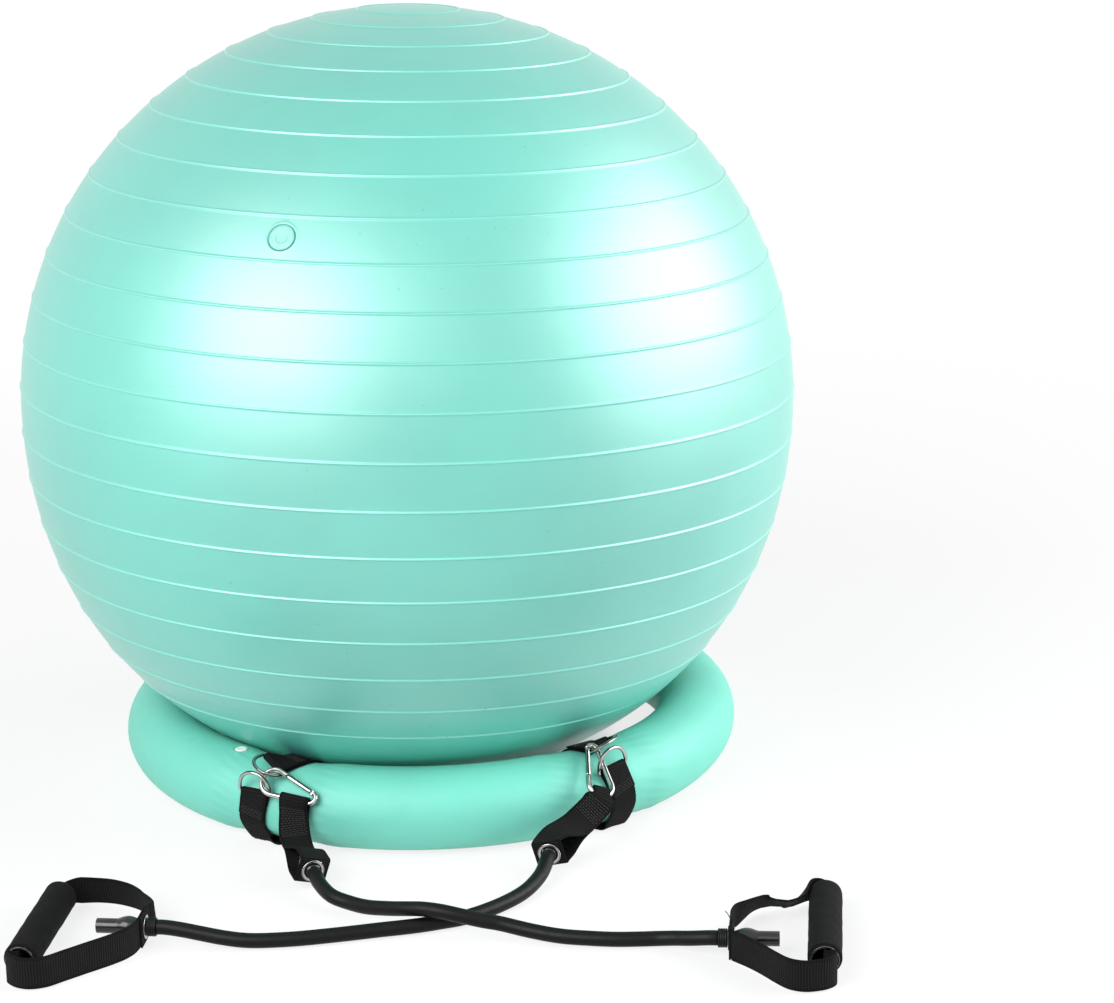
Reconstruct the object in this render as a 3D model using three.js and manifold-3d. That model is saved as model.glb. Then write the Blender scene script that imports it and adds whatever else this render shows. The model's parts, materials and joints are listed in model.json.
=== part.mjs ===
// Balance ball chair: a ribbed ball resting in an inflated ring, with two webbing tethers round
// the ring and two elastic pull bands clipped to them. Millimetres, +Z up, floor at z = 0, and
// the origin at the middle of the ring. The left band starts at the left tether and its handle
// lies at the right; the right band is the other way round, so the two tubes cross.
import * as THREE from 'three';
import { mergeVertices } from 'three/addons/utils/BufferGeometryUtils.js';
import Module from 'manifold-3d';

const wasm = await Module();
wasm.setup();

// Clearances
const TOUCH_GAP = 0.3;
const FLOOR_GAP = 0.35;
const HOOK_LOOP_GAP = 0.55;
const OVERRUN = 2;

// Ring base: an inflated tube bent into a ring
const RING_MID_RADIUS = 229.8;
const RING_TUBE_RADIUS = 33.8;
const RING_WALL = 1;
const RING_TURNS = 40;
const RING_SIDES = 18;
const LAYOUT_RING_SHARES = 229.8;

// Ball
const BALL_RADIUS = 325;
const BALL_WALL = 1;
const BALL_FOOT_RADIUS = 30;
const BALL_LEAN = 12.5;
const BALL_LEAN_DEG = -150;
const BALL_TILT_X_DEG = 1.53;
const BALL_TILT_Y_DEG = 2.35;
const BALL_SAG_SHARE = 0.0172;
const BALL_DENT_SPREAD_DEG = 26;
const BALL_TURNS = 28;
const SEAT_GAP = 0.6;

// Moulded ribs round the ball, counted from the seam near its middle
const RIB_HEIGHT = 1;
const RIB_WIDTH = 3.2;
const RIB_PITCH_DEG = 6.694;
const SEAM_LATITUDE_DEG = -4.481;
const RIBS_ABOVE_SEAM = 13;
const RIBS_BELOW_SEAM = 6;
const BALL_LOW_ROWS_DEG = [-90, -87.5, -85, -82.5, -79, -74, -68, -61, -54.5, -48.5];

// Valve plugs, and the moulded collars that they push into
const BALL_PLUG_AZIMUTH_DEG = -108;
const BALL_PLUG_LATITUDE_DEG = 35.2;
const BALL_PLUG_STEM_RADIUS = 4.3;
const BALL_PLUG_STEM_LENGTH = 16;
const BALL_PLUG_CAP_RADIUS = 10.4;
const BALL_PLUG_CAP_HEIGHT = 1.4;
const BALL_POCKET_DEPTH = 1.6;
const BALL_COLLAR_DEPTH = 12;
const RING_PLUG_AZIMUTH_DEG = -130.9;
const RING_PLUG_STEM_RADIUS = 2.9;
const RING_PLUG_STEM_LENGTH = 9;
const RING_PLUG_CAP_RADIUS = 5.3;
const RING_PLUG_CAP_HEIGHT = 1.2;
const RING_POCKET_DEPTH = 1;
const RING_COLLAR_DEPTH = 7;
const COLLAR_RIM = 1.4;
const PLUG_TURNS = 16;

// Webbing, as used for the tethers, the band anchors and the handles
const WEBBING_WIDTH = 25;
const WEBBING_THICKNESS = 1.5;

// Tether straps, and the waist that each pulls into the ring
const STRAP_WAIST_DEPTH = 3;
const STRAP_WAIST_HALF_DEG = 7.2;
const STRAP_WAIST_RAMP_DEG = 5;
const STRAP_EASE = 1.5;
const STRAP_LAP = 21;
const STRAP_RISE_RUN = 12;
const STRAP_TURN_EXTRA_DEG = 36;
const STRAP_TURN_STOPS = 9;
const STRAP_SKEW_SHARE = 0.5;
const STRAP_STEP_DEG = 15;
const STRAP_LEAVES_DEG = -25;
const STRAP_RETURNS_DEG = -150;
const STRAP_FLOOR_RUN = 18;
const STRAP_FLOOR_BEND = 3;

// D-shaped rings of the tethers
const DRING_WIRE_RADIUS = 1.5;
const DRING_INNER_WIDTH = 26;
const DRING_DEPTH = 18;
const DRING_CORNER = 2;
const DRING_BOW_STOPS = 8;
const DRING_BOW_SHARE = 0.8;
const WIRE_SIDES = 8;

// Spring hooks
const HOOK_WIRE_RADIUS = 2.25;
const HOOK_LENGTH = 54;
const HOOK_BIG_RADIUS = 10.25;
const HOOK_SMALL_RADIUS = 4.4;
const GATE_RADIUS = 2.1;
const HOOK_NOSE_LENGTH = 6.9555;
const GATE_HINGE_RUN = 3;
const GATE_HEEL = 1.6;
const GATE_TIP_GAP = 0.4;
const GATE_PIN_RADIUS = 0.7;
const TONGUE_THICKNESS = 1.4;
const TONGUE_HEIGHT = 3.4;
const HOOK_SMALL_STOPS = 6;
const HOOK_BIG_STOPS = 12;

// Elastic tubes and what holds their ends
const TUBE_RADIUS = 5.75;
const TUBE_BORE_RADIUS = 3.6;
const TUBE_SIDES = 10;
const TUBE_STEPS = 18;
const BEAD_RADIUS = 5.6;
const BULGE_WALL = 2;
const ANCHOR_STUB = 4;
const ANCHOR_TAIL = 20;
const HANDLE_STUB = 10;
const HANDLE_TAIL = 36;
const SLEEVE_LENGTH = 7;
const SLEEVE_WALL = 1.2;
const TUBE_END_TURNS = 12;

// Shapes of the swelling over a bead, the hollow in it and the bead: radius and height as shares
// of the radius of each
const SWELL_SHARES = [[0.94, 0.55], [1, 0], [0.9, -0.6]];
const SWELL_END_SHARE = 1.15;
const CAVITY_SHARES = [[0.9, -0.5], [1, 0], [0.9, 0.5]];
const CAVITY_END_SHARE = 0.85;
const BEAD_SHARES = [
  [0, -0.88], [0.45, -0.8], [0.82, -0.42], [0.94, 0], [0.82, 0.42], [0.45, 0.8], [0, 0.88],
];

// Grommets pressed into the webbing
const GROMMET_WALL = 0.9;
const GROMMET_FLANGE_WIDTH = 3.3;
const GROMMET_WASHER_WIDTH = 2.5;
const GROMMET_FLANGE_HEIGHT = 0.8;
const GROMMET_TURNS = 16;

// Anchor loops of the bands
const ANCHOR_FACE_HALF = 10.4;
const ANCHOR_FACE_CORNER = 1.4;
const ANCHOR_POCKET = 14;
const ANCHOR_TAPER = 30;
const ANCHOR_CLOSE_RUN = 14;
const ANCHOR_STEP = 4;
const ANCHOR_TURN_STOPS = 7;
const ANCHOR_BUTT = 0.8;
const ANCHOR_BUTT_SHARE = 0.36;
const GATHERED_WIDTH = 14;
const GATHERED_INSET = 4.25;

// Handles
const GRIP_LENGTH = 122;
const GRIP_CORE_RADIUS = 11;
const GRIP_CORE_WALL = 1.6;
const GRIP_CORE_PROUD = 2.5;
const FOAM_RADIUS = 13;
const FOAM_EDGE = 1.5;
const FOAM_TURNS = 24;
const GRIP_CORE_TURNS = 20;
const GRIP_RUNNING_GAP = 0.5;
const GRIP_WEBBING_RAMP = 9;
const HANDLE_STEP = 4.5;

// Worked-out sizes that several pieces share
const HALF_TURN = Math.PI;
const UP = new THREE.Vector3(0, 0, 1);
const radians = (degrees) => (degrees * HALF_TURN) / 180;
const ringHeight = RING_TUBE_RADIUS * Math.cos(HALF_TURN / RING_SIDES);
const ballCentre = new THREE.Vector3(
  BALL_LEAN * Math.cos(radians(BALL_LEAN_DEG)),
  BALL_LEAN * Math.sin(radians(BALL_LEAN_DEG)),
  Math.sqrt(BALL_RADIUS ** 2 - BALL_FOOT_RADIUS ** 2),
);
const layerPitch = WEBBING_THICKNESS + TOUCH_GAP;
const innerLayer = STRAP_EASE - STRAP_WAIST_DEPTH + WEBBING_THICKNESS / 2;
const outerLayer = innerLayer + layerPitch;
const dringLoop = DRING_WIRE_RADIUS + TOUCH_GAP + WEBBING_THICKNESS / 2;
const hookLoop = HOOK_WIRE_RADIUS + HOOK_LOOP_GAP + WEBBING_THICKNESS / 2;
const hookSmallX = HOOK_LENGTH - HOOK_BIG_RADIUS - HOOK_SMALL_RADIUS - 2 * HOOK_WIRE_RADIUS;
const hookTaper = Math.acos((HOOK_BIG_RADIUS - HOOK_SMALL_RADIUS) / hookSmallX);
const hookBar = hookSmallX * Math.sin(hookTaper);
const gateLength = hookBar - GATE_HINGE_RUN - GATE_TIP_GAP - HOOK_NOSE_LENGTH;
const grommetBore = TUBE_RADIUS + TOUCH_GAP;
const grommetBarrel = grommetBore + GROMMET_WALL;
const grommetHole = grommetBarrel + TOUCH_GAP;
const grommetFlange = grommetBore + GROMMET_FLANGE_WIDTH;
const grommetWasher = grommetBore + GROMMET_WASHER_WIDTH;
const coreLength = GRIP_LENGTH + 2 * GRIP_CORE_PROUD;
const coreBore = GRIP_CORE_RADIUS - GRIP_CORE_WALL;
const coreWebbing = 2 * (coreBore - GRIP_RUNNING_GAP);
const handleHeight = FOAM_RADIUS + FLOOR_GAP;

// The tables below were measured on a ring of the radius in this share. The tethers keep their
// distances on another ring, and the bands' layout on the floor keeps its distance to the front.
const ringShare = RING_MID_RADIUS / LAYOUT_RING_SHARES;
const layoutBack = RING_MID_RADIUS - LAYOUT_RING_SHARES;

// Places on the ring tube: azimuth about the ring, section angle about the tube (90 is its top)
// and stand, the height above its surface. Directions are shares of around, over and off.
const tethers = {
  left: {
    strap: [
      [23.9, -121.05], [-25, -122.4], [-45, -121.4], [-90, -118.5], [-180, -116.8],
      [-240, -116.2], [-262, -116.6], [-294.4, -119.28],
    ],
    front: {
      azimuth: -121.05, section: 23.9, stand: 2.28,
      xShares: [0.999, 0.017, -0.045], yShares: [0.011, 0.838, 0.546],
    },
    rear: {
      azimuth: -119.28, section: 65.61, stand: 3.62,
      xShares: [-0.868, 0.464, 0.174], yShares: [-0.347, -0.82, 0.456],
    },
    hook: {
      azimuth: -117.29, section: 39.3, stand: 6.77,
      xShares: [0.973, -0.188, -0.134], yShares: [0.194, 0.98, 0.035],
    },
  },
  right: {
    strap: [
      [39.21, -53.45], [0, -51.9], [-30, -51.4], [-90, -53], [-180, -53.5],
      [-240, -54.2], [-262, -54.3], [-283.3, -53.47],
    ],
    front: {
      azimuth: -53.45, section: 39.21, stand: 2.27,
      xShares: [0.988, 0.144, 0.046], yShares: [-0.135, 0.705, 0.696],
    },
    rear: {
      azimuth: -53.47, section: 76.7, stand: 3.44,
      xShares: [-0.96, -0.272, -0.071], yShares: [0.158, -0.729, 0.666],
    },
    hook: {
      azimuth: -58.45, section: 22.03, stand: 13.63,
      xShares: [0.276, 0.827, -0.49], yShares: [-0.958, 0.279, -0.067],
    },
  },
};
const waistAzimuths = { left: -119, right: -53.4 };
for (const [side, tether] of Object.entries(tethers)) {
  const middle = waistAzimuths[side];
  const near = (azimuth) => middle + (azimuth - middle) / ringShare;
  tether.strap = tether.strap.map(([section, azimuth]) => [section, near(azimuth)]);
  for (const place of [tether.front, tether.rear, tether.hook]) {
    place.azimuth = near(place.azimuth);
  }
}

// Each band: the face of its anchor loop, how the anchor webbing hangs, its tube's route along
// the floor, and the handle that lies at the other side
const bands = {
  left: {
    barShare: 0.65,
    bigEndAngle: null,
    face: { x: -85, y: -314, z: 15.5, headingDeg: -70.4, dropDeg: 7.5, rollDeg: -16 },
    hang: 6, sag: 34, reach: 38,
    route: [
      [-79.2, -331.5, 12.6], [-67.7, -352.2, 9.5], [-53.3, -362.1, 7.6], [-40, -373, 8.6],
      [-21.2, -387.2, 12.9], [-8, -396.5, 16.4], [4, -402.8, 18.6], [17.9, -408.6, 18.9],
      [36.5, -411.8, 15.5], [50, -412.2, 12.2], [63.2, -412.3, 9.5], [85.9, -420.1, 6.6],
      [108.6, -430.3, 6.1], [131.1, -435.7, 6.1], [150.6, -438.6, 6.1], [168.6, -438.9, 6.1],
      [183, -439.2, 6.4], [195, -443.4, 8.2], [205, -449.2, 10.4],
    ],
    handle: {
      x: 235.5, y: -457, headingDeg: -4.9, turn: 1, reach: 70.6, slide: 25.1,
      farShares: [
        [-0.01, 0.3], [0.02, 0.44], [0.11, 0.55], [0.19, 0.65], [0.29, 0.76], [0.38, 0.8],
        [0.47, 0.785], [0.56, 0.755], [0.64, 0.79], [0.71, 0.89], [0.77, 1], [0.84, 1.075],
        [0.92, 1.1], [0.985, 1.07],
      ],
      nearShares: [
        [0.06, 0.4], [0.15, 0.56], [0.26, 0.78], [0.38, 1.06], [0.5, 1.36], [0.64, 1.64],
        [0.79, 1.74], [0.93, 1.69], [1.04, 1.58], [1.11, 1.42], [1.115, 1.26], [1.07, 1.13],
        [1.015, 1.05],
      ],
      leans: [
        [1, 0], [0.82, 0], [0.74, 30], [0.66, 58], [0.58, 60], [0.48, 36], [0.35, 32], [0.15, 8],
        [0, 0],
      ],
      gatherRun: 28,
    },
  },
  right: {
    barShare: null,
    bigEndAngle: 170,
    face: { x: 101.3, y: -288.6, z: 15.5, headingDeg: -102.3, dropDeg: 8.6, rollDeg: 14 },
    hang: 12, sag: 0, reach: 22,
    route: [
      [97.2, -307, 11.6], [93.4, -320, 9.4], [81.8, -344.6, 7], [62.7, -368.5, 6.1],
      [35.8, -391.5, 6.1], [17.2, -399.3, 6.1], [3.4, -404.3, 6.1], [-12, -408.4, 6.1],
      [-26.5, -411.6, 6.1], [-61.7, -420.1, 6.1], [-95.3, -426.4, 6.1], [-126.2, -427.3, 6.1],
      [-144.4, -424.9, 7.5], [-163.6, -420.9, 10], [-178.5, -418, 12.2],
    ],
    handle: {
      x: -206, y: -414, headingDeg: 173.4, turn: -1, reach: 78.8, slide: -6.1,
      farShares: [
        [-0.04, 0.34], [-0.01, 0.47], [0.06, 0.65], [0.15, 0.83], [0.25, 0.97], [0.36, 1.07],
        [0.5, 1.15], [0.65, 1.18], [0.79, 1.175], [0.9, 1.145], [0.97, 1.09],
      ],
      nearShares: [
        [0.04, 0.32], [0.1, 0.48], [0.19, 0.62], [0.39, 0.87], [0.55, 1.07], [0.7, 1.25],
        [0.84, 1.31], [0.96, 1.28], [1.05, 1.2], [1.09, 1.125], [1.065, 1.065],
        [1.015, 1.03],
      ],
      leans: [[1, 0], [0.9, 12], [0.75, 18], [0.25, 18], [0.08, 4], [0, 0]],
      gatherRun: 16,
    },
  },
};
for (const { face, route, handle } of Object.values(bands)) {
  route.forEach((place) => {
    place[0] *= ringShare;
    place[1] -= layoutBack;
  });
  for (const place of [face, handle]) {
    place.x *= ringShare;
    place.y -= layoutBack;
  }
}

const finish = (color, roughness, metalness = 0) => (
  new THREE.MeshStandardMaterial({ color, roughness, metalness })
);
const ballVinyl = finish(0x78e1c8, 0.35);
const ringVinyl = finish(0x7debd2, 0.55);
const plugVinyl = finish(0xf2f4f2, 0.5);
const webbing = finish(0x141414, 0.9);
const nickel = finish(0xd8d8d8, 0.2, 1);
const latex = finish(0x2a2a28, 0.6);
const sleeveRubber = finish(0x161616, 0.7);
const corePlastic = finish(0x101010, 0.35);
const gripFoam = finish(0x1e1e1c, 0.95);

const chair = new THREE.Group();

function add(name, geometry, material) {
  const shaded = merged(geometry).toNonIndexed();
  shaded.computeVertexNormals();
  const mesh = new THREE.Mesh(shaded, material.clone());
  mesh.name = name;
  chair.add(mesh);
}

// Mesh helpers

function merged(geometry) {
  const bare = geometry.clone();
  Object.keys(bare.attributes)
    .filter((name) => name !== 'position')
    .forEach((name) => bare.deleteAttribute(name));
  return mergeVertices(bare, 1e-4);
}

function solid(geometry) {
  const closed = merged(geometry);
  return new wasm.Manifold(new wasm.Mesh({
    numProp: 3,
    vertProperties: new Float32Array(closed.attributes.position.array),
    triVerts: new Uint32Array(closed.index.array),
  }));
}

function geometryOf(body) {
  const mesh = body.getMesh();
  const geometry = new THREE.BufferGeometry();
  geometry.setAttribute('position', new THREE.BufferAttribute(mesh.vertProperties, 3));
  geometry.setIndex(new THREE.BufferAttribute(mesh.triVerts, 1));
  return geometry;
}

function cut(geometry, ...tools) {
  return geometryOf(tools.reduce((rest, tool) => rest.subtract(solid(tool)), solid(geometry)));
}

function join(geometry, ...others) {
  return geometryOf(others.reduce((whole, other) => whole.add(solid(other)), solid(geometry)));
}

// Six times the volume that the faces enclose, which is negative when they point inwards
function signedVolume(geometry) {
  const { position } = geometry.attributes;
  const [a, b, c] = [new THREE.Vector3(), new THREE.Vector3(), new THREE.Vector3()];
  let total = 0;
  for (let i = 0; i < geometry.index.count; i += 3) {
    a.fromBufferAttribute(position, geometry.index.getX(i));
    b.fromBufferAttribute(position, geometry.index.getX(i + 1));
    c.fromBufferAttribute(position, geometry.index.getX(i + 2));
    total += a.dot(b.cross(c));
  }
  return total;
}

// A closed mesh through cross-sections, joined end to end or capped at both ends
function loft(sections, closed = false) {
  const across = sections[0].length;
  const index = [];
  const bandCount = closed ? sections.length : sections.length - 1;
  for (let i = 0; i < bandCount; i += 1) {
    const here = i * across;
    const there = ((i + 1) % sections.length) * across;
    for (let j = 0; j < across; j += 1) {
      const side = (j + 1) % across;
      index.push(here + j, here + side, there + side, here + j, there + side, there + j);
    }
  }
  const last = (sections.length - 1) * across;
  for (let j = 1; j + 1 < across && !closed; j += 1) {
    index.push(0, j + 1, j, last, last + j, last + j + 1);
  }
  const geometry = new THREE.BufferGeometry();
  const corners = sections.flat().flatMap((point) => point.toArray());
  geometry.setAttribute('position', new THREE.Float32BufferAttribute(corners, 3));
  geometry.setIndex(index);
  if (signedVolume(geometry) < 0) geometry.setIndex(index.reverse());
  return geometry;
}

// A profile of [radius, height] pairs turned about +Z, closed on the axis or on itself
function turned(profile, turns, startDeg = 0) {
  const points = profile.map(([radius, height]) => new THREE.Vector2(radius, height));
  if (profile[0][0] > 0) points.push(points[0].clone());
  const start = radians(startDeg) - HALF_TURN / 2;
  const geometry = merged(new THREE.LatheGeometry(points, turns, start).rotateX(HALF_TURN / 2));
  if (signedVolume(geometry) < 0) geometry.setIndex([...geometry.index.array].reverse());
  return geometry;
}

function rod(radius, low, high, turns) {
  return turned([[0, low], [radius, low], [radius, high], [0, high]], turns);
}

// Moves a shape made about +Z so that it stands on an origin along an axis
function stood(geometry, origin, axis) {
  const turn = new THREE.Quaternion().setFromUnitVectors(UP, axis);
  return geometry.clone().applyQuaternion(turn).translate(origin.x, origin.y, origin.z);
}

// Moves a shape made in a flat frame into its place
function seated(geometry, frame) {
  const z = frame.x.clone().cross(frame.y);
  const matrix = new THREE.Matrix4().makeBasis(frame.x, frame.y, z).setPosition(frame.origin);
  return geometry.clone().applyMatrix4(matrix);
}

// Round wire along a flat path in the XY plane, mitred at its corners
function wire(path, radius, sides, closed) {
  const points = path.map(([x, y]) => new THREE.Vector3(x, y, 0));
  const count = points.length;
  const sections = points.map((point, i) => {
    const before = closed ? points[(i + count - 1) % count] : points[Math.max(i - 1, 0)];
    const after = closed ? points[(i + 1) % count] : points[Math.min(i + 1, count - 1)];
    const arriving = point.clone().sub(before).normalize();
    const leaving = after.clone().sub(point).normalize();
    const along = arriving.clone().add(leaving).normalize();
    const mitre = Math.max(along.dot(arriving), along.dot(leaving));
    const across = UP.clone().cross(along).divideScalar(mitre);
    return Array.from({ length: sides }, (_, j) => {
      const angle = (2 * HALF_TURN * (j + 0.5)) / sides;
      return point.clone()
        .addScaledVector(across, radius * Math.cos(angle))
        .addScaledVector(UP, radius * Math.sin(angle));
    });
  });
  return loft(sections, closed);
}

// A strip of webbing: each stop has its middle and its width direction, and where they differ
// from the strip's own also its direction along and its width
function strip(stops) {
  return loft(stops.map(({ middle, wide, along: held, width = WEBBING_WIDTH }, i) => {
    const before = stops[Math.max(i - 1, 0)].middle;
    const after = stops[Math.min(i + 1, stops.length - 1)].middle;
    const along = held ?? after.clone().sub(before).normalize();
    const across = wide.clone().addScaledVector(along, -wide.dot(along)).normalize();
    const thick = along.clone().cross(across);
    const corner = (a, b) => middle.clone()
      .addScaledVector(across, (a * width) / 2)
      .addScaledVector(thick, (b * WEBBING_THICKNESS) / 2);
    return [corner(-1, -1), corner(1, -1), corner(1, 1), corner(-1, 1)];
  }));
}

// A smooth step from 0 to 1
const eased = (share) => {
  const held = Math.min(Math.max(share, 0), 1);
  return held * held * (3 - 2 * held);
};

function valueAt(table, at) {
  const next = Math.max(1, table.findIndex(([key]) => key <= at));
  const [[fromKey, from], [toKey, to]] = [table[next - 1], table[next]];
  return from + ((to - from) * (at - fromKey)) / (toKey - fromKey);
}

// Places on and about the ring tube

function ringAxes(azimuthDeg, sectionDeg) {
  const azimuth = radians(azimuthDeg);
  const section = radians(sectionDeg);
  const outward = new THREE.Vector3(Math.cos(azimuth), Math.sin(azimuth), 0);
  return {
    outward,
    around: new THREE.Vector3(-Math.sin(azimuth), Math.cos(azimuth), 0),
    over: outward.clone().multiplyScalar(-Math.sin(section)).addScaledVector(UP, Math.cos(section)),
    off: outward.clone().multiplyScalar(Math.cos(section)).addScaledVector(UP, Math.sin(section)),
  };
}

function ringPoint(azimuthDeg, sectionDeg, stand) {
  const { outward, off } = ringAxes(azimuthDeg, sectionDeg);
  return outward.clone().multiplyScalar(RING_MID_RADIUS)
    .addScaledVector(UP, ringHeight)
    .addScaledVector(off, RING_TUBE_RADIUS + stand);
}

function ringFrame({ azimuth, section, stand, xShares, yShares }) {
  const { around, over, off } = ringAxes(azimuth, section);
  const mix = ([a, b, c]) => around.clone().multiplyScalar(a)
    .addScaledVector(over, b)
    .addScaledVector(off, c)
    .normalize();
  const x = mix(xShares);
  const y = mix(yShares);
  y.addScaledVector(x, -y.dot(x)).normalize();
  return { origin: ringPoint(azimuth, section, stand), x, y };
}

// Ring base

function ringAzimuths() {
  const wide = STRAP_WAIST_HALF_DEG + STRAP_WAIST_RAMP_DEG;
  const centres = Object.values(waistAzimuths);
  const step = 360 / RING_TURNS;
  const even = Array.from({ length: RING_TURNS }, (_, i) => RING_PLUG_AZIMUTH_DEG - i * step)
    .map((azimuth) => (azimuth < -180 ? azimuth + 360 : azimuth))
    .filter((azimuth) => centres.every((centre) => Math.abs(azimuth - centre) > wide + step / 4));
  const waists = centres.flatMap((centre) => [
    centre - wide, centre - STRAP_WAIST_HALF_DEG, centre,
    centre + STRAP_WAIST_HALF_DEG, centre + wide,
  ]);
  return [...even, ...waists].sort((a, b) => a - b);
}

function waistDepth(azimuth) {
  const away = Math.min(...Object.values(waistAzimuths).map((c) => Math.abs(azimuth - c)));
  return STRAP_WAIST_DEPTH * (1 - eased((away - STRAP_WAIST_HALF_DEG) / STRAP_WAIST_RAMP_DEG));
}

function ringShell(wall) {
  const sectionStep = 360 / RING_SIDES;
  return loft(ringAzimuths().map((azimuth) => (
    Array.from({ length: RING_SIDES }, (_, j) => (
      ringPoint(azimuth, j * sectionStep, -waistDepth(azimuth) - wall)
    ))
  )), true);
}

function collarTools(origin, axis, stem, cap, pocket, depth, wall) {
  const collar = rod(cap + TOUCH_GAP + COLLAR_RIM, -depth, -wall / 2, PLUG_TURNS);
  return {
    collar: stood(collar, origin, axis),
    pocket: stood(rod(cap + TOUCH_GAP, -pocket, OVERRUN, PLUG_TURNS), origin, axis),
    hole: stood(rod(stem + TOUCH_GAP, -depth - OVERRUN, 0, PLUG_TURNS), origin, axis),
  };
}

function plug(origin, axis, stem, length, cap, height, pocket) {
  const seat = TOUCH_GAP - pocket;
  return stood(turned([
    [0, seat + height], [cap - height / 2, seat + height], [cap, seat + height / 2],
    [cap, seat], [stem, seat], [stem, seat - length + stem / 2], [stem / 2, seat - length],
    [0, seat - length],
  ], PLUG_TURNS), origin, axis);
}

function makeRing() {
  const origin = ringPoint(RING_PLUG_AZIMUTH_DEG, 90, ringHeight - RING_TUBE_RADIUS);
  const { collar, pocket, hole } = collarTools(
    origin, UP, RING_PLUG_STEM_RADIUS, RING_PLUG_CAP_RADIUS, RING_POCKET_DEPTH, RING_COLLAR_DEPTH,
    RING_WALL,
  );
  const shell = cut(ringShell(0), ringShell(RING_WALL));
  add('ring_skin', cut(join(shell, collar), pocket, hole), ringVinyl);
  add('ring_plug', plug(
    origin, UP, RING_PLUG_STEM_RADIUS, RING_PLUG_STEM_LENGTH, RING_PLUG_CAP_RADIUS,
    RING_PLUG_CAP_HEIGHT, RING_POCKET_DEPTH,
  ), plugVinyl);
}

// Ball

const ballTilt = new THREE.Quaternion().setFromEuler(new THREE.Euler(
  -radians(BALL_TILT_Y_DEG), radians(BALL_TILT_X_DEG), 0,
));

// Latitudes of the profile's corners, with how far each stands out, for the skin's outside
function outerProfile() {
  const half = RIB_WIDTH / BALL_RADIUS / 2 / radians(1);
  const rows = BALL_LOW_ROWS_DEG.map((row) => [row, 0]);
  for (let rib = -RIBS_BELOW_SEAM; rib <= RIBS_ABOVE_SEAM; rib += 1) {
    const middle = SEAM_LATITUDE_DEG + rib * RIB_PITCH_DEG;
    rows.push([middle - half, 0], [middle, RIB_HEIGHT], [middle + half, 0]);
  }
  rows.push([90, 0]);
  return rows;
}

// The skin's inside: it has the plain rows and one for each rib's crest
function innerProfile() {
  return outerProfile()
    .filter(([row, proud]) => proud > 0 || BALL_LOW_ROWS_DEG.includes(row) || row === 90)
    .map(([row]) => [row, -BALL_WALL]);
}

// The ball's own radius: it sags a little below its middle, and gives way where the ring holds it
function ballRadiusAt(direction) {
  const latitude = Math.asin(direction.z);
  const sag = latitude < 0 ? BALL_SAG_SHARE * Math.sin(2 * latitude) ** 2 : 0;
  const free = BALL_RADIUS * (1 + sag);
  const surface = ballCentre.clone().addScaledVector(direction, free);
  const around = Math.atan2(surface.y, surface.x);
  const middle = new THREE.Vector3(
    RING_MID_RADIUS * Math.cos(around), RING_MID_RADIUS * Math.sin(around), ringHeight,
  ).sub(ballCentre);
  const held = BALL_RADIUS * (1 + BALL_SAG_SHARE) + SEAT_GAP + RING_TUBE_RADIUS - middle.length();
  const middleLatitude = Math.asin(middle.z / middle.length());
  const spread = (latitude - middleLatitude) / radians(BALL_DENT_SPREAD_DEG);
  const dent = Math.abs(spread) < 1 ? Math.cos((spread * HALF_TURN) / 2) ** 2 : 0;
  return free - Math.max(held, 0) * dent;
}

function ballShell(rows) {
  const wall = -Math.min(...rows.map(([, proud]) => proud), 0);
  const profile = rows.map(([latitude, proud]) => [
    Math.abs(latitude) === 90 ? 0 : (BALL_RADIUS + proud) * Math.cos(radians(latitude)),
    (BALL_RADIUS + proud) * Math.sin(radians(latitude)),
  ]);
  const geometry = turned(profile, BALL_TURNS, BALL_PLUG_AZIMUTH_DEG);
  const { position } = geometry.attributes;
  const point = new THREE.Vector3();
  for (let i = 0; i < position.count; i += 1) {
    point.fromBufferAttribute(position, i).applyQuaternion(ballTilt);
    const proud = point.length() - BALL_RADIUS;
    const direction = point.clone().normalize();
    point.copy(ballCentre).addScaledVector(direction, ballRadiusAt(direction) + proud);
    position.setXYZ(i, point.x, point.y, Math.max(point.z, wall));
  }
  return geometry;
}

function makeBall() {
  const axis = new THREE.Vector3().setFromSphericalCoords(
    1, radians(90 - BALL_PLUG_LATITUDE_DEG), 0,
  ).applyAxisAngle(new THREE.Vector3(1, 0, 0), HALF_TURN / 2);
  axis.applyAxisAngle(UP, radians(BALL_PLUG_AZIMUTH_DEG) + HALF_TURN / 2);
  const origin = ballCentre.clone().addScaledVector(axis, BALL_RADIUS);
  const { collar, pocket, hole } = collarTools(
    origin, axis, BALL_PLUG_STEM_RADIUS, BALL_PLUG_CAP_RADIUS, BALL_POCKET_DEPTH,
    BALL_COLLAR_DEPTH, BALL_WALL,
  );
  const shell = cut(ballShell(outerProfile()), ballShell(innerProfile()));
  add('ball_skin', cut(join(shell, collar), pocket, hole), ballVinyl);
  add('ball_plug', plug(
    origin, axis, BALL_PLUG_STEM_RADIUS, BALL_PLUG_STEM_LENGTH, BALL_PLUG_CAP_RADIUS,
    BALL_PLUG_CAP_HEIGHT, BALL_POCKET_DEPTH,
  ), plugVinyl);
}

// Tethers

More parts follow.
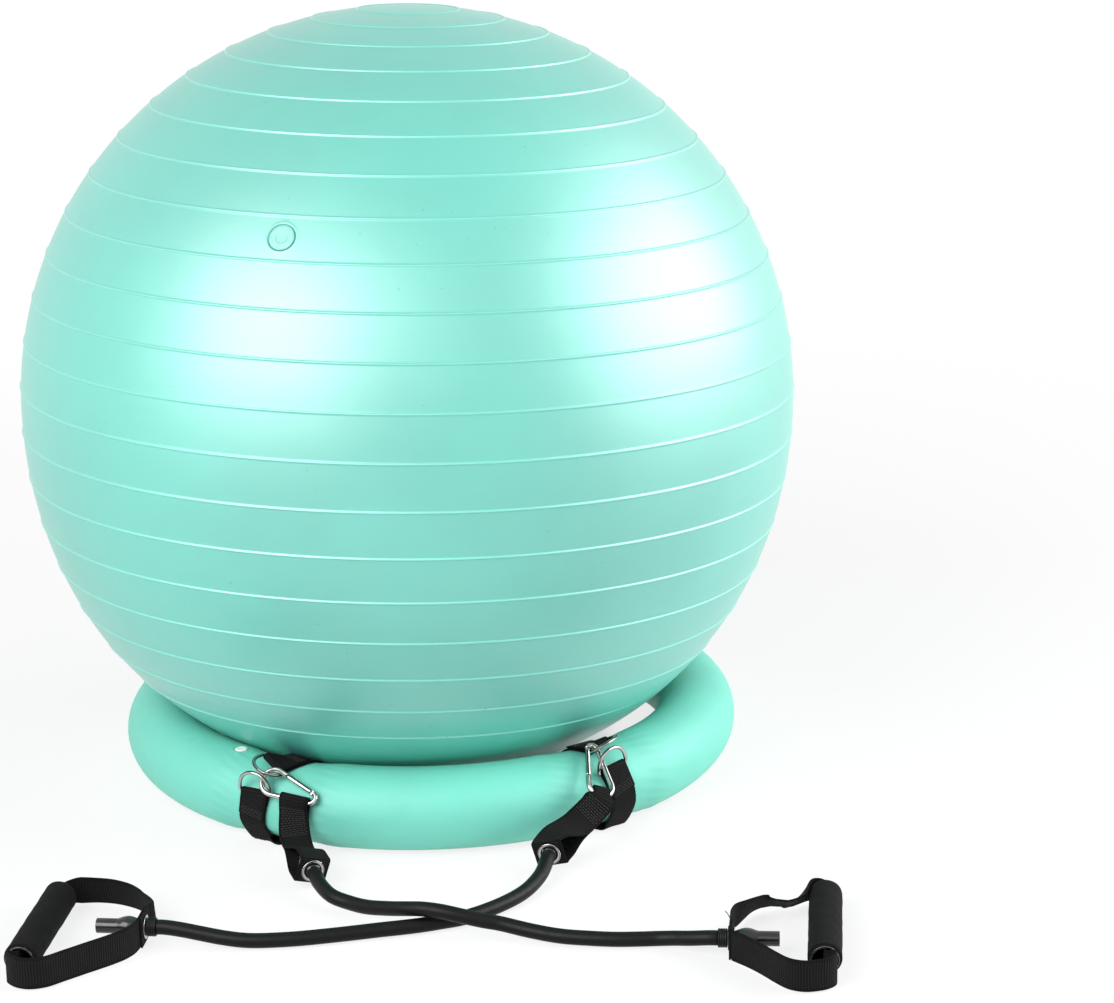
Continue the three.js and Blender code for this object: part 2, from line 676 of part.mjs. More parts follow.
// The strap's turn round the bar of a D-shaped ring: at the front it starts from the outer layer,
// and at the rear, where the sense is -1, it ends there
function barTurn(place, sense) {
  const { origin, x } = ringFrame(place);
  const { over, off } = ringAxes(place.azimuth, place.section);
  const wide = x.multiplyScalar(sense);
  const lift = off.addScaledVector(wide, -off.dot(wide)).normalize();
  const reach = lift.clone().cross(wide);
  if (reach.dot(over) * sense < 0) reach.negate();
  const span = HALF_TURN + 2 * radians(STRAP_TURN_EXTRA_DEG);
  return Array.from({ length: STRAP_TURN_STOPS }, (_, i) => {
    const share = i / (STRAP_TURN_STOPS - 1);
    const angle = HALF_TURN / 2 + sense * span * (share - 0.5);
    const middle = origin.clone()
      .addScaledVector(lift, dringLoop * Math.cos(angle))
      .addScaledVector(reach, dringLoop * Math.sin(angle));
    const along = reach.clone().multiplyScalar(sense * Math.cos(angle))
      .addScaledVector(lift, -sense * Math.sin(angle));
    return { middle, wide, along };
  });
}

function strapStop(strap, sectionDeg, stand) {
  const azimuth = valueAt(strap, sectionDeg);
  return { middle: ringPoint(azimuth, sectionDeg, stand), wide: ringAxes(azimuth, 0).around };
}

// Where the strap rises to a bar it is already turned part of the way to the bar's direction
function riseStop(strap, sectionDeg, stand, place, sense) {
  const { middle, wide } = strapStop(strap, sectionDeg, stand);
  const { off } = ringAxes(valueAt(strap, sectionDeg), sectionDeg);
  const turned = ringFrame(place).x.multiplyScalar(sense);
  turned.addScaledVector(off, -turned.dot(off)).normalize();
  return { middle, wide: wide.lerp(turned, STRAP_SKEW_SHARE).normalize() };
}

// Stops under the ring: flat on the floor, and bent up a little at both ends of that stretch
function floorStops(strap) {
  const stopAt = (sectionDeg, run, bend) => {
    const { outward, around } = ringAxes(valueAt(strap, sectionDeg), 0);
    const middle = outward.multiplyScalar(RING_MID_RADIUS + run)
      .addScaledVector(UP, FLOOR_GAP + WEBBING_THICKNESS / 2 + bend);
    return { middle, wide: around, along: outward.clone().setZ(0).normalize().negate() };
  };
  const far = STRAP_FLOOR_RUN + STRAP_FLOOR_BEND;
  return [
    stopAt(STRAP_LEAVES_DEG - STRAP_STEP_DEG, far, STRAP_FLOOR_BEND),
    stopAt(STRAP_LEAVES_DEG - 2 * STRAP_STEP_DEG, STRAP_FLOOR_RUN, 0),
    stopAt(-90, 0, 0),
    stopAt(STRAP_RETURNS_DEG + 2 * STRAP_STEP_DEG, -STRAP_FLOOR_RUN, 0),
    stopAt(STRAP_RETURNS_DEG + STRAP_STEP_DEG, -far, STRAP_FLOOR_BEND),
  ];
}

function tetherStrap({ strap, front, rear }) {
  const degreesFor = (length) => length / RING_TUBE_RADIUS / radians(1);
  const [start, end] = [strap[0][0], strap.at(-1)[0]];
  const rise = degreesFor(STRAP_RISE_RUN);
  const lap = degreesFor(STRAP_LAP);
  const arcStops = (from, to) => {
    const steps = Math.ceil((from - to) / STRAP_STEP_DEG);
    return Array.from({ length: steps }, (_, i) => (
      strapStop(strap, from + ((to - from) * i) / steps, innerLayer)
    ));
  };
  return strip([
    strapStop(strap, start - lap, outerLayer),
    riseStop(strap, start - rise, outerLayer, front, 1),
    ...barTurn(front, 1),
    riseStop(strap, start - rise, innerLayer, front, 1),
    ...arcStops(start - rise, STRAP_LEAVES_DEG).slice(1),
    strapStop(strap, STRAP_LEAVES_DEG, innerLayer),
    ...floorStops(strap),
    ...arcStops(STRAP_RETURNS_DEG, end + rise),
    riseStop(strap, end + rise, innerLayer, rear, -1),
    ...barTurn(rear, -1),
    riseStop(strap, end + rise, outerLayer, rear, -1),
    strapStop(strap, end + lap, outerLayer),
  ]);
}

function dring(place) {
  const half = DRING_INNER_WIDTH / 2 + DRING_WIRE_RADIUS;
  const bend = DRING_CORNER * (1 - Math.SQRT1_2);
  const corner = [[half - DRING_CORNER, 0], [half - bend, bend], [half, DRING_CORNER]];
  const step = HALF_TURN / (DRING_BOW_STOPS + 1);
  const bow = Array.from({ length: DRING_BOW_STOPS }, (_, i) => {
    const angle = step * (i + 1);
    return [half * Math.cos(angle), DRING_DEPTH * Math.sin(angle) ** DRING_BOW_SHARE];
  });
  const opposite = corner.map(([x, y]) => [-x, y]).reverse();
  return seated(
    wire([...corner, ...bow, ...opposite], DRING_WIRE_RADIUS, WIRE_SIDES, true),
    ringFrame(place),
  );
}

// Spring hook, flat in its own XY plane: its big end is round the origin, its small end is at
// +X and its gate is the bar on the +Y side

const smallTangent = [
  hookSmallX + HOOK_SMALL_RADIUS * Math.cos(hookTaper), HOOK_SMALL_RADIUS * Math.sin(hookTaper),
];
const alongBar = (run) => [
  smallTangent[0] - run * Math.sin(hookTaper), smallTangent[1] + run * Math.cos(hookTaper),
];

function roundEnd(centre, radius, from, to, steps) {
  return Array.from({ length: steps + 1 }, (_, i) => {
    const angle = from + ((to - from) * i) / steps;
    return [centre + radius * Math.cos(angle), radius * Math.sin(angle)];
  });
}

function barBlock(run, length, height, thickness) {
  const [x, y] = alongBar(run);
  return new THREE.BoxGeometry(length, height, thickness)
    .rotateZ(HALF_TURN / 2 + hookTaper)
    .translate(x, y, 0);
}

function pinRod(radius, half) {
  const [x, y] = alongBar(GATE_HINGE_RUN);
  return rod(radius, -half, half, WIRE_SIDES).translate(x, y, 0);
}

function hookBody() {
  const path = [
    ...roundEnd(hookSmallX, HOOK_SMALL_RADIUS, hookTaper, -hookTaper, HOOK_SMALL_STOPS),
    ...roundEnd(0, HOOK_BIG_RADIUS, -hookTaper, hookTaper - 2 * HALF_TURN, HOOK_BIG_STOPS),
    alongBar(hookBar - HOOK_NOSE_LENGTH),
  ];
  const root = HOOK_WIRE_RADIUS / 2;
  const tip = GATE_HINGE_RUN + TONGUE_HEIGHT / 2;
  const tongue = barBlock((tip - root) / 2, tip + root, TONGUE_HEIGHT, TONGUE_THICKNESS);
  const hole = pinRod(GATE_PIN_RADIUS + TOUCH_GAP, TONGUE_THICKNESS);
  return cut(join(wire(path, HOOK_WIRE_RADIUS, WIRE_SIDES, false), tongue), hole);
}

function hookGate() {
  const bar = wire([
    alongBar(GATE_HINGE_RUN - GATE_HEEL), alongBar(GATE_HINGE_RUN + gateLength),
  ], GATE_RADIUS, WIRE_SIDES, false);
  const slotTip = GATE_HINGE_RUN + TONGUE_HEIGHT * Math.SQRT1_2 + TOUCH_GAP;
  const slot = barBlock(
    (slotTip - GATE_HEEL) / 2, slotTip + GATE_HEEL, 2 * GATE_RADIUS + OVERRUN,
    TONGUE_THICKNESS + 2 * TOUCH_GAP,
  );
  return cut(bar, slot, pinRod(GATE_PIN_RADIUS + TOUCH_GAP, GATE_RADIUS + OVERRUN));
}

function makeTether(side) {
  const tether = tethers[side];
  const hook = ringFrame(tether.hook);
  add(`${side}_tether_webbing`, tetherStrap(tether), webbing);
  add(`${side}_front_dring`, dring(tether.front), nickel);
  add(`${side}_rear_dring`, dring(tether.rear), nickel);
  add(`${side}_hook_body`, seated(hookBody(), hook), nickel);
  add(`${side}_hook_gate`, seated(hookGate(), hook), nickel);
  add(`${side}_hook_pin`, seated(pinRod(GATE_PIN_RADIUS, GATE_RADIUS + TOUCH_GAP / 2), hook), nickel);
}

// Band ends: a grommet, and the tube's end swelling over a bead so that it can't pull through

// The face of a loop: a point, the way that the tube leaves it, and its width direction
function loopFace({ x, y, z, headingDeg, dropDeg, rollDeg }) {
  const heading = radians(headingDeg);
  const drop = radians(dropDeg);
  const out = new THREE.Vector3(
    Math.cos(heading) * Math.cos(drop), Math.sin(heading) * Math.cos(drop), -Math.sin(drop),
  );
  const wide = UP.clone().cross(out).normalize().applyAxisAngle(out, radians(rollDeg));
  return { origin: new THREE.Vector3(x, y, z), out, wide };
}

function grommet(half) {
  const outside = half + TOUCH_GAP + GROMMET_FLANGE_HEIGHT;
  const inside = half + TOUCH_GAP;
  return turned([
    [grommetBore, -outside], [grommetWasher, -outside], [grommetWasher, -inside],
    [grommetBarrel, -inside], [grommetBarrel, inside], [grommetFlange, inside],
    [grommetFlange, outside], [grommetBore, outside],
  ], GROMMET_TURNS);
}

// The tube's end, from its joint with the free tube outside to its tail inside the loop
function tubeEnd(half, stub, tail) {
  const cavity = BEAD_RADIUS + TOUCH_GAP;
  const swell = cavity + BULGE_WALL;
  const shoulder = -half - GROMMET_FLANGE_HEIGHT - 2 * TOUCH_GAP;
  const bead = shoulder - swell;
  const outside = SWELL_SHARES.map(([r, h]) => [r * swell, bead + h * swell]);
  const inside = CAVITY_SHARES.map(([r, h]) => [r * cavity, bead + h * cavity]);
  return turned([
    [TUBE_BORE_RADIUS, stub], [TUBE_RADIUS, stub], [TUBE_RADIUS, shoulder], ...outside,
    [TUBE_RADIUS, bead - swell * SWELL_END_SHARE], [TUBE_RADIUS, -tail],
    [TUBE_BORE_RADIUS, -tail], [TUBE_BORE_RADIUS, bead - cavity * CAVITY_END_SHARE],
    ...inside, [TUBE_BORE_RADIUS, bead + cavity * CAVITY_END_SHARE],
  ], TUBE_END_TURNS);
}

function bead(half) {
  const middle = -half - GROMMET_FLANGE_HEIGHT - 2 * TOUCH_GAP
    - (BEAD_RADIUS + TOUCH_GAP + BULGE_WALL);
  return turned(
    BEAD_SHARES.map(([r, h]) => [r * BEAD_RADIUS, middle + h * BEAD_RADIUS]), TUBE_SIDES,
  );
}

function makeBandEnd(prefix, face, half, stub, tail) {
  add(`${prefix}_grommet`, stood(grommet(half), face.origin, face.out), nickel);
  add(`${prefix}_tube_end`, stood(tubeEnd(half, stub, tail), face.origin, face.out), latex);
  add(`${prefix}_bead`, stood(bead(half), face.origin, face.out), corePlastic);
}

// Anchor webbing: a turn round the hook, two layers sewn together, and a loop with a flat face

function hookSeat(side) {
  const { origin, x, y } = ringFrame(tethers[side].hook);
  const { barShare, bigEndAngle } = bands[side];
  const local = (a, b) => x.clone().multiplyScalar(a).addScaledVector(y, b);
  if (bigEndAngle === null) {
    const run = hookBar * (1 - barShare);
    const [a, b] = alongBar(run);
    return {
      centre: origin.clone().add(local(a, -b)),
      wide: local(Math.sin(hookTaper), Math.cos(hookTaper)),
      out: local(Math.cos(hookTaper), -Math.sin(hookTaper)),
      inset: 0,
      width: WEBBING_WIDTH,
    };
  }
  const angle = radians(bigEndAngle);
  const out = local(Math.cos(angle), Math.sin(angle));
  return {
    centre: origin.clone().addScaledVector(out, HOOK_BIG_RADIUS),
    wide: local(Math.sin(angle), -Math.cos(angle)),
    out,
    inset: GATHERED_INSET,
    width: GATHERED_WIDTH,
  };
}

function anchorStrip(side, face) {
  const { hang, sag, reach } = bands[side];
  const seat = hookSeat(side);
  const down = seat.out.clone().multiplyScalar(hang).addScaledVector(UP, -sag);
  down.addScaledVector(seat.wide, -down.dot(seat.wide));
  const spine = new THREE.CubicBezierCurve3(
    seat.centre,
    seat.centre.clone().add(down),
    face.origin.clone().addScaledVector(face.out, -reach),
    face.origin,
  );
  const length = spine.getLength();
  if (seat.wide.dot(face.wide) < 0) seat.wide.negate();
  const halfGap = (run) => {
    const closing = hookLoop + (layerPitch / 2 - hookLoop) * eased(run / ANCHOR_CLOSE_RUN);
    const opening = eased((run - length + ANCHOR_POCKET + ANCHOR_TAPER) / ANCHOR_TAPER);
    return closing + (ANCHOR_FACE_HALF - closing) * opening;
  };
  const stopAt = (run, layer) => {
    const share = run / length;
    const along = spine.getTangentAt(share);
    const wide = seat.wide.clone().lerp(face.wide, eased(share));
    wide.addScaledVector(along, -wide.dot(along)).normalize();
    const lift = along.clone().cross(wide);
    const middle = spine.getPointAt(share).addScaledVector(lift, layer * halfGap(run));
    const width = seat.width + (WEBBING_WIDTH - seat.width) * eased(run / HOOK_WIRE_RADIUS / 2);
    return { middle, wide, width };
  };
  const layerStops = (from, to, layer) => {
    const steps = Math.ceil((to - from) / ANCHOR_STEP);
    return Array.from({ length: steps + 1 }, (_, i) => (
      stopAt(from + ((to - from) * i) / steps, layer)
    ));
  };
  const butt = length * ANCHOR_BUTT_SHARE;
  const flatEnd = length - ANCHOR_FACE_CORNER;
  const faceLift = face.out.clone().cross(face.wide);
  const faceStop = (back, share) => ({
    middle: face.origin.clone()
      .addScaledVector(face.out, -back)
      .addScaledVector(faceLift, ANCHOR_FACE_HALF * share),
    wide: face.wide,
  });
  const bend = ANCHOR_FACE_CORNER * (1 - Math.SQRT1_2);
  const edge = (ANCHOR_FACE_HALF - ANCHOR_FACE_CORNER) / ANCHOR_FACE_HALF;
  const bendShare = (ANCHOR_FACE_HALF - bend) / ANCHOR_FACE_HALF;
  down.normalize();
  const turnStops = Array.from({ length: ANCHOR_TURN_STOPS }, (_, i) => {
    const angle = (i * HALF_TURN) / (ANCHOR_TURN_STOPS - 1);
    const lift = down.clone().cross(seat.wide);
    const middle = seat.centre.clone()
      .addScaledVector(down, -seat.inset - hookLoop * Math.sin(angle))
      .addScaledVector(lift, hookLoop * Math.cos(angle));
    return { middle, wide: seat.wide, width: seat.width };
  });
  const loop = strip([
    ...layerStops(butt + ANCHOR_BUTT, flatEnd, -1),
    faceStop(bend, -bendShare), faceStop(0, -edge), faceStop(0, 0), faceStop(0, edge),
    faceStop(bend, bendShare),
    ...layerStops(0, flatEnd, 1).reverse(),
    ...turnStops,
    ...layerStops(0, butt, -1),
  ]);
  const hole = stood(rod(grommetHole, -OVERRUN, OVERRUN, GROMMET_TURNS), face.origin, face.out);
  return cut(loop, hole);
}

// Handles: u runs from the face to the grip and v along the grip

function handlePlace({ x, y, headingDeg, turn }) {
  const heading = radians(headingDeg);
  const toGrip = new THREE.Vector3(Math.cos(heading), Math.sin(heading), 0);
  const alongGrip = UP.clone().cross(toGrip).multiplyScalar(turn);
  const origin = new THREE.Vector3(x, y, handleHeight);
  const at = (u, v) => origin.clone().addScaledVector(toGrip, u).addScaledVector(alongGrip, v);
  return { origin, toGrip, alongGrip, at };
}

function handleStrip(handle, place) {
  const { reach, slide, farShares, nearShares, leans, gatherRun } = handle;
  const faceEnd = WEBBING_WIDTH / 2;
  const farEnd = slide + coreLength / 2;
  const nearEnd = slide - coreLength / 2;
  const farRoute = [
    [0, faceEnd], ...farShares.map(([u, v]) => [u * reach, v * farEnd]), [reach, farEnd],
  ];
  const nearRoute = [
    [layerPitch, -faceEnd], ...nearShares.map(([u, v]) => [u * reach, v * nearEnd]),
    [reach, nearEnd],
  ];
  const curveThrough = (route) => new THREE.CatmullRomCurve3(
    route.map(([u, v]) => new THREE.Vector3(u, v, 0)), false, 'centripetal',
  );
  const stopsAlong = (route, gather, leanAt) => {
    const curve = curveThrough(route);
    const length = curve.getLength();
    const steps = Math.ceil(length / HANDLE_STEP);
    return Array.from({ length: steps + 1 }, (_, i) => {
      const share = i / steps;
      const point = curve.getPointAt(share);
      const tangent = curve.getTangentAt(share);
      const lean = radians(leanAt(share));
      const inward = place.toGrip.clone().multiplyScalar(tangent.y)
        .addScaledVector(place.alongGrip, -tangent.x);
      const left = length * (1 - share);
      const gathered = 1 - eased((left - GRIP_CORE_PROUD) / gather);
      return {
        middle: place.at(point.x, point.y),
        wide: UP.clone().multiplyScalar(Math.cos(lean)).addScaledVector(inward, Math.sin(lean)),
        width: WEBBING_WIDTH + (coreWebbing - WEBBING_WIDTH) * gathered,
      };
    });
  };
  const straight = (u, v) => ({ middle: place.at(u, v), wide: UP });
  const loop = strip([
    straight(0, TOUCH_GAP - faceEnd), straight(0, 0),
    ...stopsAlong(farRoute, gatherRun, (share) => valueAt(leans, share)),
    ...stopsAlong(nearRoute, GRIP_WEBBING_RAMP, () => 0).reverse(),
    straight(layerPitch, 0), straight(layerPitch, faceEnd - TOUCH_GAP),
  ]);
  const middle = place.at(layerPitch / 2, 0);
  return cut(loop, stood(rod(grommetHole, -OVERRUN, OVERRUN, GROMMET_TURNS), middle, place.toGrip));
}

function sleeve(half) {
  const low = half + GROMMET_FLANGE_HEIGHT + 2 * TOUCH_GAP;
  const inside = TUBE_RADIUS + TOUCH_GAP;
  const outside = inside + SLEEVE_WALL;
  return turned([
    [inside, low], [outside, low], [outside, low + SLEEVE_LENGTH], [inside, low + SLEEVE_LENGTH],
  ], TUBE_END_TURNS);
}

function gripCore() {
  const half = coreLength / 2;
  return turned([
    [coreBore, -half], [GRIP_CORE_RADIUS, -half], [GRIP_CORE_RADIUS, half], [coreBore, half],
  ], GRIP_CORE_TURNS);
}

function gripSleeveFoam() {
  const inner = GRIP_CORE_RADIUS + TOUCH_GAP;
  const half = GRIP_LENGTH / 2;
  return turned([
    [inner, -half], [FOAM_RADIUS - FOAM_EDGE, -half], [FOAM_RADIUS, FOAM_EDGE - half],
    [FOAM_RADIUS, half - FOAM_EDGE], [FOAM_RADIUS - FOAM_EDGE, half], [inner, half],
  ], FOAM_TURNS);
}

function makeHandle(side) {
  const { handle } = bands[side];
  const place = handlePlace(handle);
  const half = layerPitch / 2 + WEBBING_THICKNESS / 2;
  const face = { origin: place.at(layerPitch / 2, 0), out: place.toGrip.clone().negate() };
  const prefix = `${side}_band_handle`;
  add(`${prefix}_webbing`, handleStrip(handle, place), webbing);
  makeBandEnd(prefix, face, half, HANDLE_STUB, HANDLE_TAIL);
  add(`${prefix}_sleeve`, stood(sleeve(half), face.origin, face.out), sleeveRubber);
  const middle = place.at(handle.reach, handle.slide);
  add(`${side}_band_grip_core`, stood(gripCore(), middle, place.alongGrip), corePlastic);
  add(`${side}_band_grip_foam`, stood(gripSleeveFoam(), middle, place.alongGrip), gripFoam);
  return face;
}

// The free stretch of a tube, between the ends that its grommets hold
function freeTube(route, start, end) {
  const leads = (face, stub) => [stub + TOUCH_GAP, stub + TUBE_RADIUS].map((run) => (
    face.origin.clone().addScaledVector(face.out, run)
  ));
  const points = [
    ...leads(start, ANCHOR_STUB),
    ...route.map((place) => new THREE.Vector3(...place)),
    ...leads(end, HANDLE_STUB).reverse(),
  ];
  const extrudePath = new THREE.CatmullRomCurve3(points, false, 'centripetal');
  const section = new THREE.Shape(Array.from({ length: TUBE_SIDES }, (_, i) => {
    const angle = (2 * HALF_TURN * i) / TUBE_SIDES;
    return new THREE.Vector2(TUBE_RADIUS * Math.cos(angle), TUBE_RADIUS * Math.sin(angle));
  }));
  return new THREE.ExtrudeGeometry(section, { steps: TUBE_STEPS, extrudePath });
}

function makeBand(side) {
  const face = loopFace(bands[side].face);
  add(`${side}_band_anchor_webbing`, anchorStrip(side, face), webbing);
  makeBandEnd(`${side}_band_anchor`, face, WEBBING_THICKNESS / 2, ANCHOR_STUB, ANCHOR_TAIL);
  const handleFace = makeHandle(side);
  add(`${side}_band_tube`, freeTube(bands[side].route, face, handleFace), latex);
}

makeRing();
makeBall();
for (const side of ['left', 'right']) {
  makeTether(side);
  makeBand(side);
}

export default chair;
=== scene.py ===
"""Balance ball chair: its looks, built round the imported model.

A ribbed ball rests in an inflated ring. Two webbing tethers go round the ring, a snap hook joins
the two D-shaped rings of each, and a pull band hangs in each hook. Lengths are in millimetres
until a mesh is made, which is in metres. The floor is z = 0 and the ring's middle is the origin.
"""
import json

import bpy
import numpy as np
from mathutils import Matrix


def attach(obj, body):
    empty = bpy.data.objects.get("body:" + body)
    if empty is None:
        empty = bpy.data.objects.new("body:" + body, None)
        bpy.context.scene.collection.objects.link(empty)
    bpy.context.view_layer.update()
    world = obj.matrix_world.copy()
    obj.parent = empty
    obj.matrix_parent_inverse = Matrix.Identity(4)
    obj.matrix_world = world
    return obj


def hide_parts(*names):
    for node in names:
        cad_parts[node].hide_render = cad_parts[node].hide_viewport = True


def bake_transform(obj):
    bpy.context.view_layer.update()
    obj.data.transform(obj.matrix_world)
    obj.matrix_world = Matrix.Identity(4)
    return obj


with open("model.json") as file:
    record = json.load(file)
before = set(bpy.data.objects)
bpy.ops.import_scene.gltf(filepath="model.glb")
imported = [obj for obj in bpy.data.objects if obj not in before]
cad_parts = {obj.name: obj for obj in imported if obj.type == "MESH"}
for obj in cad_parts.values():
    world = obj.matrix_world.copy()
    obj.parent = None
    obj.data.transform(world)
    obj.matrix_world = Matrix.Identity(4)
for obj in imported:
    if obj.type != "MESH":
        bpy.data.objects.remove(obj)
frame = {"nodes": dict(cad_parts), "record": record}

bl_info = {
    "name": "Balance ball chair",
    "version": (1, 0, 0),
    "blender": (4, 5, 0),
    "location": "3D View > Sidebar > Ball Chair",
    "description": "Ribbed ball in an inflated ring, with tethers, snap hooks and pull bands",
    "category": "Object",
}

MM = 0.001
SIDES = ("left", "right")
SHARP_DEG = 40
UP = np.array([0.0, 0.0, 1.0])

# Ring base and ball, as in the solids
RING_MID_RADIUS = 229.8
RING_TUBE_RADIUS = 33.8
RING_SIDES = 18
RING_HEIGHT = RING_TUBE_RADIUS * np.cos(np.pi / RING_SIDES)
WAIST_DEPTH = 1.8
WAIST_HALF_DEG = 6.4
WAIST_RAMP_DEG = 6.5
WAIST_AZIMUTHS = (-119.0, -53.4)
BALL_RADIUS = 325.0
BALL_FOOT_RADIUS = 30.0
BALL_CENTRE = np.array([
    12.5 * np.cos(np.radians(-150)),
    12.5 * np.sin(np.radians(-150)),
    np.sqrt(BALL_RADIUS ** 2 - BALL_FOOT_RADIUS ** 2),
])
BALL_TILT_DEG = (-2.35, 1.53)
BALL_SAG_SHARE = 0.0172
BALL_DENT_SPREAD_DEG = 26
SEAT_GAP = 0.05
RIB_PITCH_DEG = 6.694
SEAM_LATITUDE_DEG = -4.481
RIBS_ABOVE_SEAM = 13
RIBS_BELOW_SEAM = 6

# Stoppers: azimuth, latitude or section angle, stem and cap
BALL_PLUG = {"azimuth": -108, "latitude": 35.2, "stem": 4.3, "length": 16, "cap": 10.4,
             "height": 1.4, "pocket": 1.6}
RING_PLUG = {"azimuth": -130.9, "latitude": 90, "stem": 2.9, "length": 9, "cap": 5.3,
             "height": 1.2, "pocket": 1.0}

# Webbing, wire and tube
GAP = 0.3
FLOOR_GAP = 0.35
WEBBING_THICKNESS = 1.5
FLOOR_PRESS = 0.4
SAME_STOP = 0.05
LAYER_PITCH = WEBBING_THICKNESS + GAP
STRAP_SINK = 1.5
INNER_LAYER = WEBBING_THICKNESS / 2 - STRAP_SINK
OUTER_LAYER = INNER_LAYER + LAYER_PITCH
STRAP_LAP = 21
STRAP_RISE_RUN = 12
STRAP_TURN_EXTRA_DEG = 36
STRAP_SKEW_SHARE = 0.5
STRAP_STEP_DEG = 15
STRAP_LEAVES_DEG = -25
STRAP_RETURNS_DEG = -150
STRAP_FLOOR_RUN = 18
STRAP_FLOOR_BEND = 3
DRING_WIRE = 1.5
DRING_HALF = 14.5
DRING_DEPTH = 18
DRING_CORNER = 2
DRING_LOOP = DRING_WIRE + GAP + WEBBING_THICKNESS / 2
HOOK_WIRE = 2.25
HOOK_LENGTH = 54
HOOK_BIG = 10.25
HOOK_SMALL = 4.4
HOOK_SMALL_X = HOOK_LENGTH - HOOK_BIG - HOOK_SMALL - 2 * HOOK_WIRE
HOOK_TAPER = np.arccos((HOOK_BIG - HOOK_SMALL) / HOOK_SMALL_X)
HOOK_BAR = HOOK_SMALL_X * np.sin(HOOK_TAPER)
HOOK_LOOP = HOOK_WIRE + 0.55 + WEBBING_THICKNESS / 2
GATE_RADIUS = 2.1
HOOK_NOSE = 6.9555
GATE_HINGE_RUN = 3
GATE_HEEL = 1.6
GATE_TIP_GAP = 0.4
GATE_LENGTH = HOOK_BAR - GATE_HINGE_RUN - GATE_TIP_GAP - HOOK_NOSE
GATE_PIN_RADIUS = 0.7
TONGUE_THICKNESS = 1.4
TONGUE_HEIGHT = 3.4
TUBE_RADIUS = 5.75
TUBE_BORE = 3.6
BEAD_RADIUS = 5.6
BULGE_WALL = 2
STUB = {"anchor": 4, "handle": 10}
TAIL = {"anchor": 20, "handle": 36}
FLANGE_HEIGHT = 0.8
EYELET_BORE = TUBE_RADIUS + GAP
EYELET_BARREL = EYELET_BORE + 0.9
EYELET_HOLE = EYELET_BARREL + GAP
EYELET_FLANGE = EYELET_BORE + 3.3
EYELET_WASHER = EYELET_BORE + 2.5
COLLAR_LENGTH = 7
COLLAR_WALL = 1.2
ANCHOR_FACE_HALF = 10.4
ANCHOR_CORNER = 1.4
ANCHOR_POCKET = 14
ANCHOR_TAPER = 30
ANCHOR_CLOSE_RUN = 14
ANCHOR_BUTT = 0.8
ANCHOR_BUTT_SHARE = 0.36
GRIP_LENGTH = 122
LINER_RADIUS = 11
LINER_BORE = 9.4
LINER_PROUD = 2.5
LINER_LENGTH = GRIP_LENGTH + 2 * LINER_PROUD
LINER_WEBBING = 2 * (LINER_BORE - 0.5)
FOAM_RADIUS = 13
NEAR_GATHER = 9
HANDLE_HEIGHT = FOAM_RADIUS + FLOOR_GAP

# Places on the ring tube, as azimuth, section angle and stand, with two directions as shares of
# around, over and off
TETHERS = {
    "left": {
        "strap": [(23.9, -121.05), (-25, -122.4), (-45, -121.4), (-90, -118.5), (-180, -116.8),
                  (-240, -116.2), (-262, -116.6), (-294.4, -119.28)],
        "front": (-121.05, 23.9, 2.28, (0.999, 0.017, -0.045), (0.011, 0.838, 0.546)),
        "rear": (-119.28, 65.61, 3.62, (-0.868, 0.464, 0.174), (-0.347, -0.82, 0.456)),
        "hook": (-117.29, 39.3, 6.77, (0.973, -0.188, -0.134), (0.194, 0.98, 0.035)),
    },
    "right": {
        "strap": [(39.21, -53.45), (0, -51.9), (-30, -51.4), (-90, -53), (-180, -53.5),
                  (-240, -54.2), (-262, -54.3), (-283.3, -53.47)],
        "front": (-53.45, 39.21, 2.27, (0.988, 0.144, 0.046), (-0.135, 0.705, 0.696)),
        "rear": (-53.47, 76.7, 3.44, (-0.96, -0.272, -0.071), (0.158, -0.729, 0.666)),
        "hook": (-58.45, 22.03, 13.63, (0.276, 0.827, -0.49), (-0.958, 0.279, -0.067)),
    },
}

